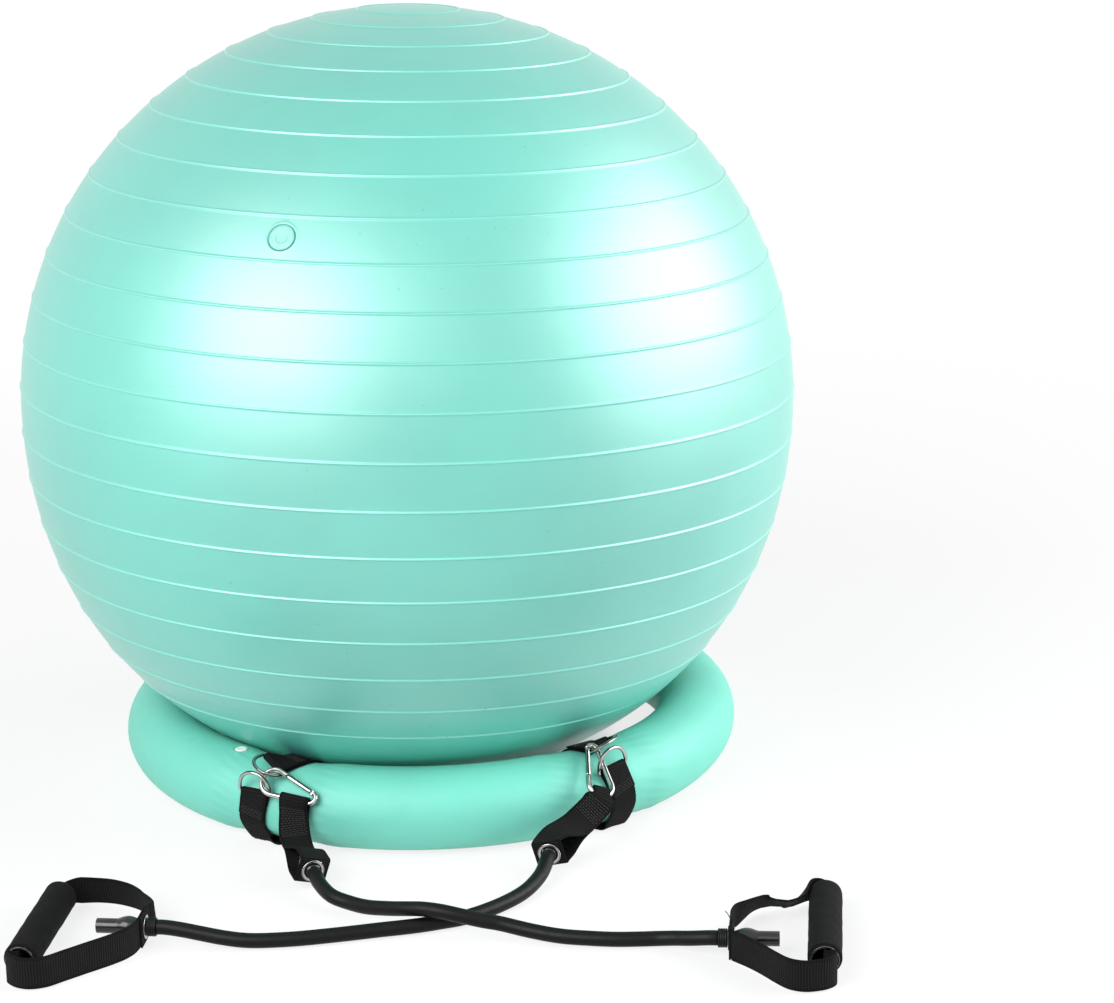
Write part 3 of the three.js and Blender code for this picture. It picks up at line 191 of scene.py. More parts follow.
# Each band: where its anchor loop hangs, the face of the loop, its tube's route and its handle
BANDS = {
    "left": {
        "bar_share": 0.65, "big_end_deg": None,
        "face": (-85, -314, 15.5, -70.4, 7.5, -16),
        "hang": 6, "sag": 34, "reach": 38,
        "route": [
            (-79.2, -331.5, 12.6), (-67.7, -352.2, 9.5), (-53.3, -362.1, 7.6), (-40, -373, 8.6),
            (-21.2, -387.2, 12.9), (-8, -396.5, 16.4), (4, -402.8, 18.6), (17.9, -408.6, 18.9),
            (36.5, -411.8, 15.5), (50, -412.2, 12.2), (63.2, -412.3, 9.5), (85.9, -420.1, 6.6),
            (108.6, -430.3, 6.1), (131.1, -435.7, 6.1), (150.6, -438.6, 6.1),
            (168.6, -438.9, 6.1), (183, -439.2, 6.4), (195, -443.4, 8.2), (205, -449.2, 10.4),
        ],
        "handle": {
            "x": 235.5, "y": -457, "heading": -4.9, "turn": 1, "reach": 70.6, "slide": 25.1,
            "far": [(-0.01, 0.3), (0.02, 0.44), (0.11, 0.55), (0.19, 0.65), (0.29, 0.76),
                    (0.38, 0.8), (0.47, 0.785), (0.56, 0.755), (0.64, 0.79), (0.71, 0.89),
                    (0.77, 1), (0.84, 1.075), (0.92, 1.1), (0.985, 1.07)],
            "near": [(0.06, 0.4), (0.15, 0.56), (0.26, 0.78), (0.38, 1.06), (0.5, 1.36),
                     (0.64, 1.64), (0.79, 1.74), (0.93, 1.69), (1.04, 1.58), (1.11, 1.42),
                     (1.115, 1.26), (1.07, 1.13), (1.015, 1.05)],
            "leans": [(0, 0), (0.15, 8), (0.3, 24), (0.42, 38), (0.52, 52), (0.61, 58),
                      (0.7, 48), (0.79, 28), (0.88, 10), (1, 0)],
            "gather": 42,
        },
    },
    "right": {
        "bar_share": None, "big_end_deg": 170,
        "face": (101.3, -288.6, 15.5, -102.3, 8.6, 14),
        "hang": 12, "sag": 0, "reach": 22,
        "route": [
            (97.2, -307, 11.6), (93.4, -320, 9.4), (81.8, -344.6, 7), (62.7, -368.5, 6.1),
            (35.8, -391.5, 6.1), (17.2, -399.3, 6.1), (3.4, -404.3, 6.1), (-12, -408.4, 6.1),
            (-26.5, -411.6, 6.1), (-61.7, -420.1, 6.1), (-95.3, -426.4, 6.1),
            (-126.2, -427.3, 6.1), (-144.4, -424.9, 7.5), (-163.6, -420.9, 10),
            (-178.5, -418, 12.2),
        ],
        "handle": {
            "x": -206, "y": -414, "heading": 173.4, "turn": -1, "reach": 78.8, "slide": -6.1,
            "far": [(-0.04, 0.34), (-0.01, 0.47), (0.06, 0.65), (0.15, 0.83), (0.25, 0.97),
                    (0.36, 1.07), (0.5, 1.15), (0.65, 1.18), (0.79, 1.175), (0.9, 1.145),
                    (0.97, 1.09)],
            "near": [(0.04, 0.32), (0.1, 0.48), (0.19, 0.62), (0.39, 0.87), (0.55, 1.07),
                     (0.7, 1.25), (0.84, 1.31), (0.96, 1.28), (1.05, 1.2), (1.09, 1.125),
                     (1.065, 1.065), (1.015, 1.03)],
            "leans": [(0, 0), (0.08, 4), (0.25, 18), (0.75, 18), (0.9, 12), (1, 0)],
            "gather": 16,
        },
    },
}
ANCHOR_STOP_STEP = 4
HANDLE_STOP_STEP = 4.5
GATHERED_WIDTH = 14
GATHERED_INSET = 4.25

# Stitches: rows across the webbing, and how they stand on it
STITCH_RADIUS = 0.32
STITCH_PITCH = 2.0
STITCH_LENGTH = 2.2
STITCH_LEAN = 0.25
STITCH_SIDES = 6
STITCH_STAND = WEBBING_THICKNESS / 2 + 0.1
STITCH_HELPER = np.array([0.31, 0.22, 0.93])
LOOSE_THREAD = [(-0.6, 11.5, 11.5), (-1.6, 12.6, 13), (-2.4, 14.6, 13.4), (-4.2, 16, 15)]
TACK_HALF = 10.5
TACK_START, TACK_END = 1.5, 9
TACK_FULL_WIDTH = 25

# Camera and lamps. Each lamp: direction, distance, width and height, share of the lamp power
PHOTO_WIDTH = 1114
FOCAL_PIXELS = 3400
SENSOR_WIDTH = 36
CAMERA_TILT_DEG = (16.185, -1.125)
CAMERA_PLACE = (0.11274, -2.80036, 1.03501)
FLOOR_DROP = 0.0004
# The floor's glow, in metres from the ring's middle: it is taken away within the first pair and
# left of the second, so the floor shows dark there, a painted shade between the ball and the
# ring, and rises from its near share to full over the third
FLOOR_HIDDEN = (0.15, 0.21)
FLOOR_SIDEWAYS = (0.1, 0.17)
FLOOR_RISE = (0.6, 1.7)
FLOOR_NEAR_SHARE = 0.8
LAMPS = {
    "left_lamp": ((-0.58, -0.66, 0.48), 3.0, (2.3, 2.1), 1),
    "right_lamp": ((0.9, -0.02, 0.34), 3.0, (3.0, 2.2), 1.25),
    "front_lamp": ((-0.1, -0.8, 0.5), 4.0, (3.4, 2.0), 0.25),
}


class VinylSettings(bpy.types.PropertyGroup):
    """Sizes and colours of the ball and the ring."""

    ball_colour: bpy.props.FloatVectorProperty(
        name="Ball colour", description="Colour of the ball's vinyl", subtype="COLOR_GAMMA",
        size=3, min=0, max=1, default=(0.3, 0.705, 0.645))
    ring_colour: bpy.props.FloatVectorProperty(
        name="Ring colour", description="Colour of the ring's vinyl", subtype="COLOR_GAMMA",
        size=3, min=0, max=1, default=(0.43, 0.775, 0.705))
    stopper_colour: bpy.props.FloatVectorProperty(
        name="Stopper colour", description="Colour of the valve stoppers",
        subtype="COLOR_GAMMA", size=3, min=0, max=1, default=(0.93, 0.95, 0.94))
    rib_height: bpy.props.FloatProperty(
        name="Rib height", description="How far a rib stands out of the ball",
        unit="LENGTH", default=0.9 * MM, min=0, max=0.003)
    rib_width: bpy.props.FloatProperty(
        name="Rib width", description="Width of a rib at its foot",
        unit="LENGTH", default=3.0 * MM, min=0.001, max=0.01)
    pucker: bpy.props.FloatProperty(
        name="Pucker", description="Depth of the folds that a tether pulls into the ring",
        unit="LENGTH", default=0.35 * MM, min=0, max=0.002)


class BandSettings(bpy.types.PropertyGroup):
    """Sizes and colours of the webbing, metal, tubes and grips."""

    webbing_colour: bpy.props.FloatVectorProperty(
        name="Webbing colour", description="Colour of the webbing's yarn",
        subtype="COLOR_GAMMA", size=3, min=0, max=1, default=(0.045, 0.044, 0.044))
    tube_colour: bpy.props.FloatVectorProperty(
        name="Tube colour", description="Colour of the elastic tube",
        subtype="COLOR_GAMMA", size=3, min=0, max=1, default=(0.045, 0.044, 0.043))
    foam_colour: bpy.props.FloatVectorProperty(
        name="Foam colour", description="Colour of the grips' foam",
        subtype="COLOR_GAMMA", size=3, min=0, max=1, default=(0.055, 0.052, 0.05))
    metal_colour: bpy.props.FloatVectorProperty(
        name="Metal colour", description="Colour of the plated metal", subtype="COLOR_GAMMA",
        size=3, min=0, max=1, default=(0.76, 0.755, 0.745))
    webbing_width: bpy.props.FloatProperty(
        name="Webbing width", description="Width of the webbing", unit="LENGTH",
        default=25 * MM, min=0.01, max=0.05)
    weave_pitch: bpy.props.FloatProperty(
        name="Weave pitch", description="Distance between the cross ribs of the weave",
        unit="LENGTH", default=2.1 * MM, min=0.0005, max=0.005)


class StageSettings(bpy.types.PropertyGroup):
    """Floor, lamps and camera."""

    floor_size: bpy.props.FloatProperty(
        name="Floor size", description="Width of the floor", unit="LENGTH", default=40,
        min=5, max=100)
    lamp_power: bpy.props.FloatProperty(
        name="Lamp power", description="Power of each soft lamp beside the camera, in watts",
        subtype="POWER", default=98, min=0, max=500)
    fill_level: bpy.props.FloatProperty(
        name="Fill level", description="Brightness of the room's own light",
        subtype="FACTOR", default=0.12, min=0, max=1)
    lens: bpy.props.FloatProperty(
        name="Lens", description="Focal length of the camera", unit="CAMERA",
        default=FOCAL_PIXELS / PHOTO_WIDTH * SENSOR_WIDTH, min=20, max=300)


# Arrays and curves


def eased(share):
    """A smooth step from 0 to 1: 3 s^2 - 2 s^3, held at both ends."""
    held = np.clip(share, 0, 1)
    return held * held * (3 - 2 * held)


def hump(share):
    """cos^2 of a quarter turn times the share, which falls from 1 to 0 at shares of -1 and 1."""
    return np.where(np.abs(share) < 1, np.cos(share * np.pi / 2) ** 2, 0)


def unit(vector):
    """The same direction, one long."""
    vector = np.asarray(vector, float)
    return vector / np.linalg.norm(vector, axis=-1, keepdims=True)


def without(vector, direction):
    """What is left of a vector once its part along a direction is taken away."""
    return vector - (vector * direction).sum(-1, keepdims=True) * direction


def pointing(azimuth, latitude):
    """The direction at an azimuth and a latitude, both in radians."""
    return np.stack([np.cos(latitude) * np.cos(azimuth), np.cos(latitude) * np.sin(azimuth),
                     np.sin(latitude)], -1)


def ring_axes(azimuth_deg, section_deg):
    """Outward, around, over and off at a place on the ring tube."""
    azimuth, section = np.broadcast_arrays(np.radians(azimuth_deg), np.radians(section_deg))
    outward = np.stack([np.cos(azimuth), np.sin(azimuth), 0 * azimuth], -1)
    around = np.stack([-np.sin(azimuth), np.cos(azimuth), 0 * azimuth], -1)
    sine, cosine = np.sin(section)[..., None], np.cos(section)[..., None]
    return outward, around, UP * cosine - outward * sine, outward * cosine + UP * sine


def ring_point(azimuth_deg, section_deg, stand):
    """Middle of the tube plus its radius and a stand along off."""
    outward, _, _, off = ring_axes(azimuth_deg, section_deg)
    far = RING_TUBE_RADIUS + np.asarray(stand, float)[..., None]
    return outward * RING_MID_RADIUS + UP * RING_HEIGHT + off * far


def ring_frame(place):
    """Origin, x and y of a piece that lies on the tube."""
    azimuth, section, stand, x_shares, y_shares = place
    _, around, over, off = ring_axes(azimuth, section)
    x, y = (unit(around * a + over * b + off * c) for a, b, c in (x_shares, y_shares))
    return ring_point(azimuth, section, stand), x, unit(without(y, x))


def smooth_path(points, steps, extras=None):
    """Centripetal Catmull-Rom curve through points: each stretch runs with knots spaced by the
    square root of the distance. Extras are columns that ride along as straight blends."""
    points = np.asarray(points, float)
    ends = np.vstack([2 * points[0] - points[1], points, 2 * points[-1] - points[-2]])
    p0, p1, p2, p3 = (ends[i:len(ends) - 3 + i, None] for i in range(4))
    gaps = np.sqrt(np.linalg.norm(np.diff(ends, axis=0), axis=1))
    d0, d1, d2 = (gaps[i:len(gaps) - 2 + i, None, None] for i in range(3))
    t = np.linspace(0, 1, steps, endpoint=False)[None, :, None]
    m1 = (p1 - p0) / d0 - (p2 - p0) / (d0 + d1) + (p2 - p1) / d1
    m2 = (p2 - p1) / d1 - (p3 - p1) / (d1 + d2) + (p3 - p2) / d2
    m1, m2 = m1 * d1, m2 * d1
    curve = (p1 + m1 * t + (3 * (p2 - p1) - 2 * m1 - m2) * t ** 2
             + (2 * (p1 - p2) + m1 + m2) * t ** 3)
    curve = np.vstack([curve.reshape(-1, points.shape[1]), points[-1]])
    if extras is None:
        return curve
    extras = np.asarray(extras, float)
    mixed = extras[:-1, None] * (1 - t) + extras[1:, None] * t
    return curve, np.vstack([mixed.reshape(-1, extras.shape[1]), extras[-1]])


def lengths_along(path):
    """Distance from the path's start to each of its points."""
    return np.concatenate([[0], np.cumsum(np.linalg.norm(np.diff(path, axis=0), axis=1))])


def blended(wanted, runs, table):
    """Rows of a table at the wanted runs, by straight blends of each column."""
    return np.stack([np.interp(wanted, runs, column) for column in table.T], -1)


def spaced(path, count):
    """Points at equal distances along a path, by linear interpolation of its length."""
    runs = lengths_along(path)
    return blended(np.linspace(0, runs[-1], count), runs, path)


def tangents(path, closed=False):
    """Direction along a path at each point, from the points before and after it."""
    if closed:
        return unit(np.roll(path, -1, axis=0) - np.roll(path, 1, axis=0))
    return unit(np.gradient(path, axis=0))


def rounded(profile, radius, steps=4):
    """Corners of a polyline turned into parabolas that start a radius before each corner, or
    half a side where that is shorter."""
    profile = np.asarray(profile, float)
    made = [profile[0]]
    for before, corner, after in zip(profile, profile[1:], profile[2:]):
        back, ahead = before - corner, after - corner
        reach = min(radius, np.linalg.norm(back) / 2, np.linalg.norm(ahead) / 2)
        start, end = corner + unit(back) * reach, corner + unit(ahead) * reach
        t = np.linspace(0, 1, steps + 1)[:, None]
        made.extend(start * (1 - t) ** 2 + corner * 2 * t * (1 - t) + end * t ** 2)
    made.append(profile[-1])
    return np.array(made)


def girth(radius, sides):
    """Distances round a circle in metres, from its first side to its first side again."""
    return np.linspace(0, 2 * np.pi * radius * MM, sides + 1)


# Objects and meshes


def linked(name, data):
    """A new object with that data, in the scene."""
    made = bpy.data.objects.new(name, data)
    bpy.context.scene.collection.objects.link(made)
    return made


def posed(name, data, *columns):
    """A linked object whose three axes and place are given."""
    made = linked(name, data)
    made.matrix_world = Matrix([*np.column_stack(columns).tolist(), [0, 0, 0, 1]])
    return made


def strip_width():
    """Width of the webbing in millimetres."""
    return bpy.context.scene.chair_bands.webbing_width / MM


def skin(name, rows, uv_across=None, uv_along=None, closed=False, **attributes):
    """A closed mesh from a grid of points: each row is a loop round the piece, and the first
    and last rows are joined, or closed with a fan to their middle."""
    rows = np.asarray(rows, float)
    if not np.isfinite(rows).all():
        raise RuntimeError(f"{name} has points that are not numbers")
    count, across = rows.shape[:2]
    i = np.arange(count if closed else count - 1)[:, None]
    j = np.arange(across)[None, :]
    here, there = i * across, (i + 1) % count * across
    side = (j + 1) % across
    quads = np.stack(np.broadcast_arrays(here + j, here + side, there + side, there + j), -1)
    quads = quads.reshape(-1, 4)
    points = rows.reshape(-1, 3)
    u = np.linspace(0, 1, across + 1) if uv_across is None else np.asarray(uv_across, float)
    v = np.arange(count + 1) / count if uv_along is None else np.asarray(uv_along, float)
    corners = np.stack(np.broadcast_arrays(
        u[j], u[j + 1], u[j + 1], u[j], v[i], v[i], v[i + 1], v[i + 1]), -1)
    corners = corners.reshape(-1, 2, 4).transpose(0, 2, 1).reshape(-1, 2)
    triangles, fan_uv = np.empty((0, 3), int), np.empty((0, 2))
    if not closed:
        points = np.vstack([points, rows[0].mean(0), rows[-1].mean(0)])
        j, side = j[0], side[0]
        low = np.stack([np.full(across, count * across), side, j], -1)
        base = (count - 1) * across
        high = np.stack([np.full(across, count * across + 1), base + j, base + side], -1)
        triangles = np.vstack([low, high])
        fan_uv = np.repeat([[u.mean(), v[0]], [u.mean(), v[count - 1]]], across * 3, axis=0)
    fans = (quads[:, :3], quads[:, [0, 2, 3]], triangles)
    enclosed = sum(np.einsum("ij,ij->", points[a], np.cross(points[b], points[c]))
                   for a, b, c in (fan.T for fan in fans))
    if enclosed < 0:
        quads, triangles = quads[:, ::-1], triangles[:, ::-1]
        corners = corners.reshape(-1, 4, 2)[:, ::-1].reshape(-1, 2)
        fan_uv = fan_uv.reshape(-1, 3, 2)[:, ::-1].reshape(-1, 2)
    mesh = bpy.data.meshes.new(name)
    mesh.vertices.add(len(points))
    mesh.vertices.foreach_set("co", (points * MM).ravel())
    loops = np.concatenate([quads.ravel(), triangles.ravel()])
    mesh.loops.add(len(loops))
    mesh.loops.foreach_set("vertex_index", loops)
    starts = np.concatenate([np.arange(len(quads)) * 4,
                             len(quads) * 4 + np.arange(len(triangles)) * 3])
    mesh.polygons.add(len(starts))
    mesh.polygons.foreach_set("loop_start", starts)
    mesh.polygons.foreach_set("use_smooth", np.ones(len(starts), bool))
    mesh.uv_layers.new(name="UVMap").data.foreach_set(
        "uv", np.vstack([corners, fan_uv]).ravel())
    for key, values in attributes.items():
        padded = np.zeros(len(points))
        padded[:values.size] = values.ravel()
        mesh.attributes.new(key, "FLOAT", "POINT").data.foreach_set("value", padded)
    mesh.update(calc_edges=True)
    mesh.validate()
    return linked(name, mesh)


def turned_rows(profile, turns):
    """Rows of a lathe shape: radius and height turned about +Z."""
    profile = np.asarray(profile, float)
    angle = np.arange(turns) * 2 * np.pi / turns
    radius, height = profile[:, :1], profile[:, 1:]
    return np.stack([radius * np.cos(angle), radius * np.sin(angle),
                     np.broadcast_to(height, (len(profile), turns))], -1)


def stood(rows, origin, axis):
    """Turns +Z to an axis and moves the shape to an origin."""
    axis = unit(axis)
    helper = UP if abs(axis[2]) < 0.9 else np.array([1.0, 0, 0])
    x = unit(np.cross(helper, axis))
    basis = np.stack([x, np.cross(axis, x), axis])
    return rows @ basis + origin


def lathe(name, profile, turns, origin, axis, closed=True):
    """A turned piece. Its profile closes on itself, or runs from the axis to the axis."""
    rows = stood(turned_rows(profile, turns), origin, axis)
    profile = np.asarray(profile, float)
    runs = lengths_along(profile) * MM
    return skin(name, rows, girth(profile[:, 0].max(), turns), np.append(runs, runs[-1]), closed)


def swept_rows(path, radii, sides, reference, closed=False):
    """Round loops along a path: the first direction is the reference crossed with the tangent,
    and the second the tangent crossed with the first."""
    along = tangents(path, closed)
    first = unit(np.cross(reference, along))
    second = np.cross(along, first)
    angle = (np.arange(sides) * 2 * np.pi / sides)[None, :, None]
    radii = np.broadcast_to(radii, len(path))[:, None, None]
    return (path[:, None] + radii * np.cos(angle) * first[:, None]
            + radii * np.sin(angle) * second[:, None])


def round_wire(name, path, radius, sides, reference, closed=False):
    """Wire of one thickness whose open ends are domed: the radius falls as a quarter circle."""
    path = np.asarray(path, float)
    radii = np.full(len(path), float(radius))
    if not closed:
        dome = np.array([0, 0.12, 0.35, 0.65])
        edge = radius * 0.45
        shrink = radius * (0.55 + 0.45 * np.sqrt(1 - (1 - dome) ** 2))
        runs = np.append(dome * edge, edge)[:, None]
        head = path[0] + unit(path[1] - path[0]) * runs
        tail = path[-1] + unit(path[-2] - path[-1]) * runs
        radii = np.concatenate([shrink, radii, shrink[::-1]])
        path = np.vstack([head, path[1:-1], tail[::-1]])
    rows = swept_rows(path, radii, sides, reference, closed)
    runs = lengths_along(path) * MM
    return skin(name, rows, girth(radius, sides), np.append(runs, runs[-1] + radius * MM),
                closed)


def carve(piece, *tools, joined=()):
    """Adds the joined shapes to a piece, takes the tools' shapes out and deletes them all."""
    for kind, tool in [("UNION", part) for part in joined] + [("DIFFERENCE", t) for t in tools]:
        step = piece.modifiers.new("carve", "BOOLEAN")
        step.operation, step.solver, step.object = kind, "MANIFOLD", tool
    bpy.context.view_layer.update()
    depsgraph = bpy.context.evaluated_depsgraph_get()
    carved = bpy.data.meshes.new_from_object(piece.evaluated_get(depsgraph))
    carved.name = piece.data.name
    piece.modifiers.clear()
    piece.data = carved
    if not carved.polygons:
        raise RuntimeError(f"Nothing is left of {piece.name}")
    for tool in (*tools, *joined):
        bpy.data.objects.remove(tool)
    piece.data.set_sharp_from_angle(angle=np.radians(SHARP_DEG))
    return piece


def cylinder(radius, low, high, origin, axis, turns=48):
    """A plain cutting tool."""
    return lathe("tool", [(radius, low), (radius, high)], turns, origin, axis, closed=False)


# Shaders


class Number:
    """A number that varies over a surface. Python's operators on it add Math nodes."""

    def __init__(self, recipe, socket):
        self.recipe, self.socket = recipe, socket

    def __add__(self, other):
        return self.recipe.maths("ADD", self, other)

    def __sub__(self, other):
        return self.recipe.maths("SUBTRACT", self, other)

    def __rsub__(self, other):
        return self.recipe.maths("SUBTRACT", other, self)

    def __mul__(self, other):
        return self.recipe.maths("MULTIPLY", self, other)

    def __truediv__(self, other):
        return self.recipe.maths("DIVIDE", self, other)

    def __rtruediv__(self, other):
        return self.recipe.maths("DIVIDE", other, self)

    __radd__, __rmul__ = __add__, __mul__

    def wave(self, pitch):
        """Humps of a sine, 0 to 1, one for each pitch."""
        turned = self.recipe.maths("SINE", self * (np.pi / pitch))
        return self.recipe.maths("ABSOLUTE", turned)

    def above(self, low, high):
        """0 below low, 1 above high and smooth between them."""
        return self.recipe.node("ShaderNodeMapRange", {"interpolation_type": "SMOOTHSTEP"},
                                {"Value": self, "From Min": low, "From Max": high})


class Recipe:
    """A material under construction, on one Principled shader."""

    def __init__(self, name, **constants):
        self.material = bpy.data.materials.new(name)
        self.material.use_nodes = True
        self.tree = self.material.node_tree
        self.shader = self.tree.nodes["Principled BSDF"]
        for key, value in constants.items():
            self.shader.inputs[key.replace("_", " ")].default_value = value

    def node(self, kind, settings=None, inputs=None, output=0):
        """Adds a node: its settings are set first, then the values or links of its sockets."""
        made = self.tree.nodes.new(kind)
        for key, value in (settings or {}).items():
            setattr(made, key, value)
        for key, value in (inputs or {}).items():
            self.put(made.inputs[key], value)
        return Number(self, made.outputs[output])

    def put(self, socket, value):
        """Links a varying value to a socket, or sets a plain one."""
        if isinstance(value, Number):
            self.tree.links.new(value.socket, socket)
        else:
            socket.default_value = value

    def maths(self, operation, *values):
        """A Math node on numbers or varying values."""
        return self.node("ShaderNodeMath", {"operation": operation}, dict(enumerate(values)))

    def place(self):
        """The piece's own coordinates in metres."""
        return self.node("ShaderNodeTexCoord", output=3)

    def cloth(self):
        """The piece's own UV map, as two numbers in metres."""
        pair = self.node("ShaderNodeUVMap", {"uv_map": "UVMap"})
        return [self.node("ShaderNodeSeparateXYZ", None, {0: pair}, part) for part in (0, 1)]

    def straight_rays(self):
        """One on camera, glossy and transmission rays and nought on all others."""
        camera, glossy, through = (
            self.node("ShaderNodeLightPath", output=f"Is {ray} Ray")
            for ray in ("Camera", "Glossy", "Transmission"))
        return self.maths("MAXIMUM", self.maths("MAXIMUM", camera, glossy), through)

    def noise(self, size, detail=3, stretch=(1, 1, 1), vector=None):
        """Noise whose patches are about as large as size in metres."""
        vector = self.node("ShaderNodeMapping", None, {
            "Vector": vector or self.place(), "Scale": stretch})
        return self.node("ShaderNodeTexNoise", None, {
            "Vector": vector, "Scale": 1 / size, "Detail": detail})

    def attribute(self, name):
        """A number that the mesh holds at each point."""
        return self.node("ShaderNodeAttribute", {"attribute_name": name}, output=2)

    def mix(self, share, first, second):
        """A colour between two others."""
        first, second = ((*c, 1) if isinstance(c, tuple) else c for c in (first, second))
        return self.node("ShaderNodeMix", {"data_type": "RGBA"},
                         {0: share, 6: first, 7: second}, output=2)

    def finish(self, colour, roughness, height=None, depth=0.0001, strength=1.0):
        """Joins colour, roughness and a height in depths to the shader."""
        self.put(self.shader.inputs["Base Color"],
                 (*colour, 1) if isinstance(colour, tuple) else colour)
        self.put(self.shader.inputs["Roughness"], roughness)
        if height is not None:
            bump = self.node("ShaderNodeBump", None, {
                "Height": height, "Distance": depth, "Strength": strength})
            self.put(self.shader.inputs["Normal"], bump)
        return self.material


class Room(Recipe):
    """The room's own light under construction, on one Background shader."""

    def __init__(self, name):
        world = bpy.data.worlds.new(name)
        world.use_nodes = True
        bpy.context.scene.world = world
        self.tree = world.node_tree
        self.shader = self.tree.nodes["Background"]


def linear(colour, gain=1.0):
    """A screen colour as light: ((c + 0.055) / 1.055)^2.4, or c / 12.92 where it is dark."""
    c = np.asarray(colour, float)
    light = np.where(c <= 0.04045, c / 12.92, ((c + 0.055) / 1.055) ** 2.4) * gain
    return tuple(float(v) for v in np.clip(light, 0, 1))


def ball_vinyl(settings):
    """Satin vinyl: ribs paler by a painted highlight, faint cloudy tone, mould lines, fine
    grain.
    """
    r = Recipe("ball_vinyl", Metallic=0.12, Specular_IOR_Level=1.0, Coat_Weight=1.0,
               Coat_IOR=1.9, Coat_Roughness=0.45)
    base = tuple(settings.ball_colour)
    rib = r.attribute("rib")
    cloud = r.noise(0.16, 4)
    flow = r.noise(0.02, 3, stretch=(0.12, 0.12, 1.6))
    tone = r.mix(cloud.above(0.3, 0.7), linear(base, 0.93), linear(base, 1.05))
    tone = r.mix(flow.above(0.62, 0.8) * 0.25, tone, linear(base, 0.86))
    # Painted highlight: the crest of each rib is painted paler than the vinyl.
    tone = r.mix(rib * 0.6, tone, linear([min(c + 0.13, 1) for c in base]))
    speck = r.noise(0.006, 1).above(0.765, 0.79)
    tone = r.mix(speck * 0.35, tone, linear(base, 0.45))
    grain = r.noise(0.0011, 2)
    rough = 0.4 + cloud * 0.06 + grain * 0.05 - rib * 0.06
    return r.finish(tone, rough, grain + flow * 1.5, 0.00006, 0.5)


def ring_vinyl(settings):
    """Matte vinyl with a fine embossed hatch, a weld line and slight unevenness."""
    r = Recipe("ring_vinyl", Metallic=0.05)
    base = tuple(settings.ring_colour)
    u, v = r.cloth()
    hatch = (u + v).wave(0.0016) * (u - v).wave(0.0016)
    cloud = r.noise(0.09, 3)
    fold = r.attribute("fold")
    weld = r.attribute("weld")
    tone = r.mix(cloud.above(0.3, 0.7), linear(base, 0.94), linear(base, 1.04))
    # Painted shade: the ring is darker in the troughs of the puckers beside each waist.
    tone = r.mix(fold * 0.3, tone, linear(base, 0.72))
    tone = r.mix(weld * 0.5, tone, linear(base, 0.8))
    # Painted highlight: the raised points of the embossed hatch are painted paler.
    tone = r.mix(hatch * 0.22, tone, linear(base, 1.35))
    smudge = r.noise(0.03, 4, stretch=(1, 1, 2.5)).above(0.6, 0.85)
    tone = r.mix(smudge * 0.18, tone, linear(base, 0.8))
    rough = 0.5 + cloud * 0.08 - hatch * 0.06 + smudge * 0.06
    return r.finish(tone, rough, hatch + cloud * 0.8, 0.00014, 0.6)


def stopper_vinyl(settings, name="stopper_vinyl", tint=0.0):
    """White vinyl, or tinted towards the ball, with moulding rings and dust in them."""
    r = Recipe(name)
    _, v = r.cloth()
    pair = zip(settings.stopper_colour, settings.ball_colour)
    base = tuple(white + (ball - white) * tint for white, ball in pair)
    ring = v.wave(0.0022)
    dust = r.noise(0.004, 3).above(0.5, 0.75)
    tone = r.mix(dust * 0.3, linear(base), linear(base, 0.72))
    return r.finish(tone, 0.42 + dust * 0.2, ring + dust * 0.4, 0.0001, 0.5)


def webbing_yarn(settings):
    """Woven webbing: cross ribs split into stitches by the warp, flat selvedges and fluff."""
    r = Recipe("webbing_yarn", Specular_IOR_Level=0.14)
    base = tuple(settings.webbing_colour)
    u, v = r.cloth()
    rib = (v + r.noise(0.008, 2) * 0.0009).wave(settings.weave_pitch)
    warp = u.wave(settings.weave_pitch * 0.55)
    half = settings.webbing_width / 2
    edge = r.maths("ABSOLUTE", u).above(half - 0.0024, half - 0.0014)
    weave = rib * (0.7 + warp * 0.3) * (1 - edge * 0.5)
    fluff = r.noise(0.0009, 3)
    wear = r.noise(0.014, 3).above(0.4, 0.8)
    # Painted light: dark between the cross ribs, a painted shade, and pale on them, a painted
    # highlight.
    tone = r.mix(weave.above(0.2, 0.95), linear(base, 0.35), linear(base, 2.4))
    tone = r.mix(fluff.above(0.6, 0.85) * 0.5 + wear * 0.12, tone, linear(base, 6.0))
    return r.finish(tone, 0.8 + fluff * 0.16 - weave * 0.1, weave + fluff * 0.3,
                    0.0006, 0.9)


def stitch_thread(settings):
    """Twisted thread, a little brighter than the webbing under it."""
    r = Recipe("stitch_thread", Specular_IOR_Level=0.3)
    base = tuple(settings.webbing_colour)
    twist = r.noise(0.0006, 2)
    return r.finish(r.mix(twist, linear(base, 4.0), linear(base, 11.0)),
                    0.5 + twist * 0.2, twist, 0.0001, 0.6)


def bright_metal(settings, name="bright_metal", turned=False):
    """Nickel-plated steel with painted reflections, dark stripes along a wire or dark rings
    round a turned piece, rubbed patches and a few dull spots."""
    r = Recipe(name, Metallic=1.0)
    base = tuple(settings.metal_colour)
    u, v = r.cloth()
    cloud = r.noise(0.006, 3)
    drawn = r.noise(0.0009, 2, stretch=(1, 1, 0.15))
    spot = r.noise(0.0016, 2).above(0.68, 0.78)
    # Painted reflection: dark stripes along a wire, or dark rings round a turned piece.
    bands = (v if turned else u + cloud * 0.0012).wave(0.0019 if turned else 0.0047)
    line = 1 - bands.above(0.2, 0.65)
    tone = r.mix(cloud.above(0.35, 0.75), linear(base), linear(base, 0.8))
    tone = r.mix(line * 0.92, tone, linear((0.14, 0.14, 0.14)))
    tone = r.mix(spot * 0.3, tone, linear((0.55, 0.52, 0.48)))
    return r.finish(tone, 0.12 + cloud * 0.08 + spot * 0.25, drawn + spot * 0.5, 0.00003, 0.4)


